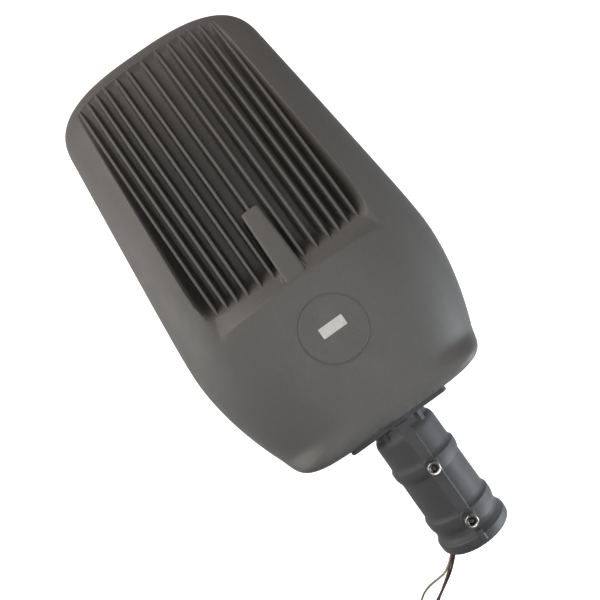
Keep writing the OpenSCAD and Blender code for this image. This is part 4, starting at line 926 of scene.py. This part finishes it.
# Light compartment. Sixty chips on a white board under four clear lens plates, with a white tray round the
# lenses that hides the board's edges.
board = finish("board_solder_mask", (0.80, 0.80, 0.78), 0.35,
               tones=(60, 0.3, 0.7, (0.76, 0.76, 0.74), (0.84, 0.84, 0.82)), grain=(1200, 0.00003, 0.3))
phosphor = finish("phosphor", (0.86, 0.66, 0.12), 0.5, tones=(2000, 0, 1, (0.78, 0.56, 0.08), (0.92, 0.74, 0.2)),
                  settings={"Subsurface Weight": 0.1})
lens = finish("lens_polycarbonate", (0.97, 0.98, 0.99), 0.06, wear=(500, 0.03, 0.12),
              settings={"Transmission Weight": 1.0, "IOR": 1.58})
tray = finish("tray_white", (0.80, 0.80, 0.79), 0.28, wear=(30, 0.22, 0.36), grain=(380, 0.00006, 0.4))
dress(board, "led_board")
dress(phosphor, "led_chips")
dress(lens, "lens_plates")
dress(tray, "reflector_tray")

# Driver bay. An extruded aluminium driver, a blue surge protector, a terminal block and the cable's clamp, each
# screwed to cast bosses in the bay's roof.
metal_case = shader("driver_aluminium", (0.60, 0.61, 0.62), 0.36, metal)
brushed = noise(metal_case, object_place(metal_case, (0.04, 1, 1)), 1800, detail=3)
worn(metal_case, brushed, 0.28, 0.5)
bumped(metal_case, [(brushed, 0.00003, 0.5)])
surge_blue = finish("surge_plastic", (0.045, 0.11, 0.33), 0.33, wear=(160, 0.28, 0.42), grain=(900, 0.00004, 0.4))
terminal_white = finish("terminal_plastic", (0.74, 0.73, 0.68), 0.5, grain=(1300, 0.00005, 0.4),
                        tones=(140, 0, 1, (0.70, 0.69, 0.63), (0.78, 0.77, 0.73)))
nylon = finish("black_nylon", (0.028, 0.028, 0.029), 0.5, wear=(120, 0.42, 0.6), grain=(1500, 0.00005, 0.5))
softened("led_driver", "led_driver_case", metal_case, 0.6, "lamp")
softened("surge_protector", "surge_protector_case", surge_blue, 0.6, "lamp")
softened("terminal_block", "terminal_block_body", terminal_white, 0.4, "lamp")
softened("cable_clamp", "cable_clamp_saddle", nylon, 0.3, "lamp")
dress(nylon, "cable_gland", "gland_nut")
brass = finish("brass", (0.68, 0.52, 0.24), 0.28, wear=(500, 0.22, 0.4), grain=(3000, 0.00002, 0.4), settings=metal)
dress(brass, "earth_screw")

# Wiring of the bay. The supply cable's sheath comes in through the gland; brown, blue and green leads join it,
# the terminals, the surge protector and the driver, and a white lead goes through the duct to the board.
inlet = [(2.6, 45.4, -10), (2.6, 47.2, -10), (4.6, 49.6, -10.6), (9.6, 51.2, -11.4), (12, 53.2, -12),
         (12, 55, -12)]
lead_routes = {
    "leads_live": [
        [(-x, y, z) for x, y, z in inlet],
        [(-12, 77, -12), (-12, 79.2, -12), (-14, 80.8, -12), (-20, 81, -11.6), (-45, 81, -10), (-84, 81, -7),
         (-92, 83.5, -5.6), (-96, 90, -4.6), (-95.4, 99, -3.6), (-90, 105, -3), (-83, 106, -3), (-80, 106, -3)],
        [(-41, 52, 6), (-38, 52, 6), (-34, 54, 2.6), (-30, 58, -6), (-26, 62.4, -11), (-22, 64, -12),
         (-19, 64, -12)]],
    "leads_neutral": [
        [(0, 45.4, -10), (0, 47.2, -10), (0, 53.2, -12), (0, 55, -12)],
        [(0, 77, -12), (0, 79.2, -12), (-1.6, 80.8, -13), (-6, 81, -15), (-45, 81, -14), (-86, 81, -10.6),
         (-95, 84, -9), (-99.4, 91, -8.4), (-98.8, 101, -7.6), (-92.6, 109.4, -7), (-83, 111, -7), (-80, 111, -7)],
        [(-41, 43, 3), (-38, 43, 3), (-34, 45, 0), (-30, 51, -8.6), (-26, 57.6, -14.6), (-22, 60, -16),
         (-19, 60, -16)]],
    "leads_earth": [
        inlet,
        [(12, 77, -12), (12, 79.2, -12), (14, 80.6, -12), (20, 80.6, -11.6), (29, 78.4, -10), (39, 71, -5),
         (44.6, 60, 1), (46, 51, 5), (46, 46, 7.2), (46, 43.1, 7.2)]],
    "led_lead": [
        [(80, 117, 2), (84, 117, 2), (92, 118.6, 2), (97.6, 124, 2.4), (99, 134, 3), (97.6, 145, 4),
         (92, 152, 5), (80, 153.6, 6), (44, 153.6, 7.4), (12, 153.6, 8), (5.6, 153.6, 8), (1.4, 154.6, 8),
         (0, 157, 8), (0, 160, 8), (0, 169, 8), (0, 174, 7), (0, 180, 2), (0, 185, -6), (0, 189.6, -15),
         (0, 194, -20.6), (0, 199, -22.8), (0, 203, -22.8)]],
}
lead_looks = {
    "leads_live": (pvc("live_lead_pvc", (0.20, 0.075, 0.04)), 2.2, "core_brown_pvc"),
    "leads_neutral": (pvc("neutral_lead_pvc", (0.03, 0.09, 0.42)), 2.2, "core_blue_pvc"),
    "leads_earth": (pvc("earth_lead_pvc", (0.50, 0.56, 0.06), (0.08, 0.28, 0.05)), 2.2, "core_green_pvc"),
    "led_lead": (pvc("led_lead_pvc", (0.74, 0.74, 0.71)), 4.0, "lead_white"),
}
for name, routes in lead_routes.items():
    material, diameter, slot_name = lead_looks[name]
    lines = [in_place(smooth_route(route, 4)) for route in routes]
    lead = sweep(name + "_wire", lines, diameter * MM / 2, material)
    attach(lead, "lamp")
    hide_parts(name)
sheath = finish("sheath_rubber", (0.018, 0.018, 0.018), 0.5, wear=(150, 0.42, 0.62), grain=(900, 0.00004, 0.4))
dress(sheath, "supply_cable")

# Door of the driver bay. A cast plate with two ribs inside, coated like the housing; it swings on two hinge
# pins, is held by two captive screws and carries a breather vent.
softened("driver_door", "bay_door_casting", coat, 0.6, "door")
softened("breather_vent", "breather_vent_cap", nylon, 0.5, "door")
door_head_h = 3.6
for side in ("left", "right"):
    node_name = "door_screw_" + side
    low, high = (np.array(c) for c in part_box(node_name))
    screw = pan_head(node_name + "_steel", 2.5, 4.5, door_head_h, (high[2] - low[2]) / MM - door_head_h)
    centre = (low + high) / 2
    screw.data.transform(Matrix.Translation((centre[0], centre[1], low[2] + door_head_h * MM)))
    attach(screw, node_name)
    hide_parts(node_name)

# Floor and light. A pale floor well below the hanging lamp, which lets a camera under it see the lamp, a white
# surround, soft lights from the nose's left side and from above, and two small ones at the spigot's right.
floor_level, floor_size, floor_glow = -0.36, 4.0, 0.86
light_level = 0.1


def seen_by_camera(material):
    """1 for rays from the camera and for those that came through glass."""
    rays = node(material, "LightPath").outputs
    either = {0: rays["Is Camera Ray"], 1: rays["Is Transmission Ray"]}
    return node(material, "Math", either, operation="MAXIMUM").outputs["Value"]


def choice(material, share, first, second):
    return node(material, "MixShader", {"Fac": share, 1: first, 2: second}).outputs["Shader"]


floor_white = shader("floor_white", (0.82, 0.82, 0.82), 0.9)
plain = floor_white.node_tree.nodes["Principled BSDF"].outputs["BSDF"]
glow = node(floor_white, "Emission", {"Strength": floor_glow}).outputs["Emission"]
both = node(floor_white, "AddShader", {0: plain, 1: glow}).outputs["Shader"]
shown = choice(floor_white, seen_by_camera(floor_white), plain, both)
from_below = node(floor_white, "NewGeometry").outputs["Backfacing"]
one_sided = choice(floor_white, from_below, shown, node(floor_white, "BsdfTransparent").outputs["BSDF"])
floor_white.node_tree.links.new(one_sided, floor_white.node_tree.nodes["Material Output"].inputs["Surface"])
corners = [(i * floor_size, j * floor_size, floor_level) for i, j in ((-1, -1), (1, -1), (1, 1), (-1, 1))]
floor = add_object("floor", corners, [(0, 1, 2, 3)], floor_white)
world = bpy.data.worlds.new("studio")
world.use_nodes = True
bpy.context.scene.world = world
white = (1, 1, 1, 1)
background = world.node_tree.nodes["Background"]
background.inputs["Color"].default_value = white
background.inputs["Strength"].default_value = light_level
bright = node(world, "Background", {"Color": white, "Strength": 1.0}).outputs["Background"]
surround = choice(world, seen_by_camera(world), background.outputs["Background"], bright)
world.node_tree.links.new(surround, world.node_tree.nodes["World Output"].inputs["Surface"])


def soft_light(name, at, aim, size, power, colour):
    data = bpy.data.lights.new(name, "AREA")
    data.shape = "SQUARE"
    data.size = size
    data.energy = power
    data.color = colour
    light = place(name, data)
    light.location = at
    light.rotation_euler = (Vector(aim) - Vector(at)).to_track_quat("-Z", "Y").to_euler()


middle = (0, 0.36, 0)
soft_light("key_light", (-0.58, 1.36, 0.96), middle, 0.9, 9.8, (1.0, 0.93, 0.84))
soft_light("left_light", (-1.40, 0.75, 0.31), middle, 1.0, 8.6, (1.0, 0.99, 0.97))
soft_light("top_light", (0.0, 0.10, 1.48), middle, 0.55, 4.3, (1.0, 1.0, 0.98))
soft_light("right_light", (0.75, -0.25, 0.20), (0, 0.05, 0), 0.5, 2.9, (0.93, 0.97, 1.0))
soft_light("low_right_light", (0.55, -0.42, 0.12), (0, 0.02, 0), 0.45, 3.8, (0.93, 0.97, 1.0))
bpy.context.scene.view_settings.view_transform = "Standard"
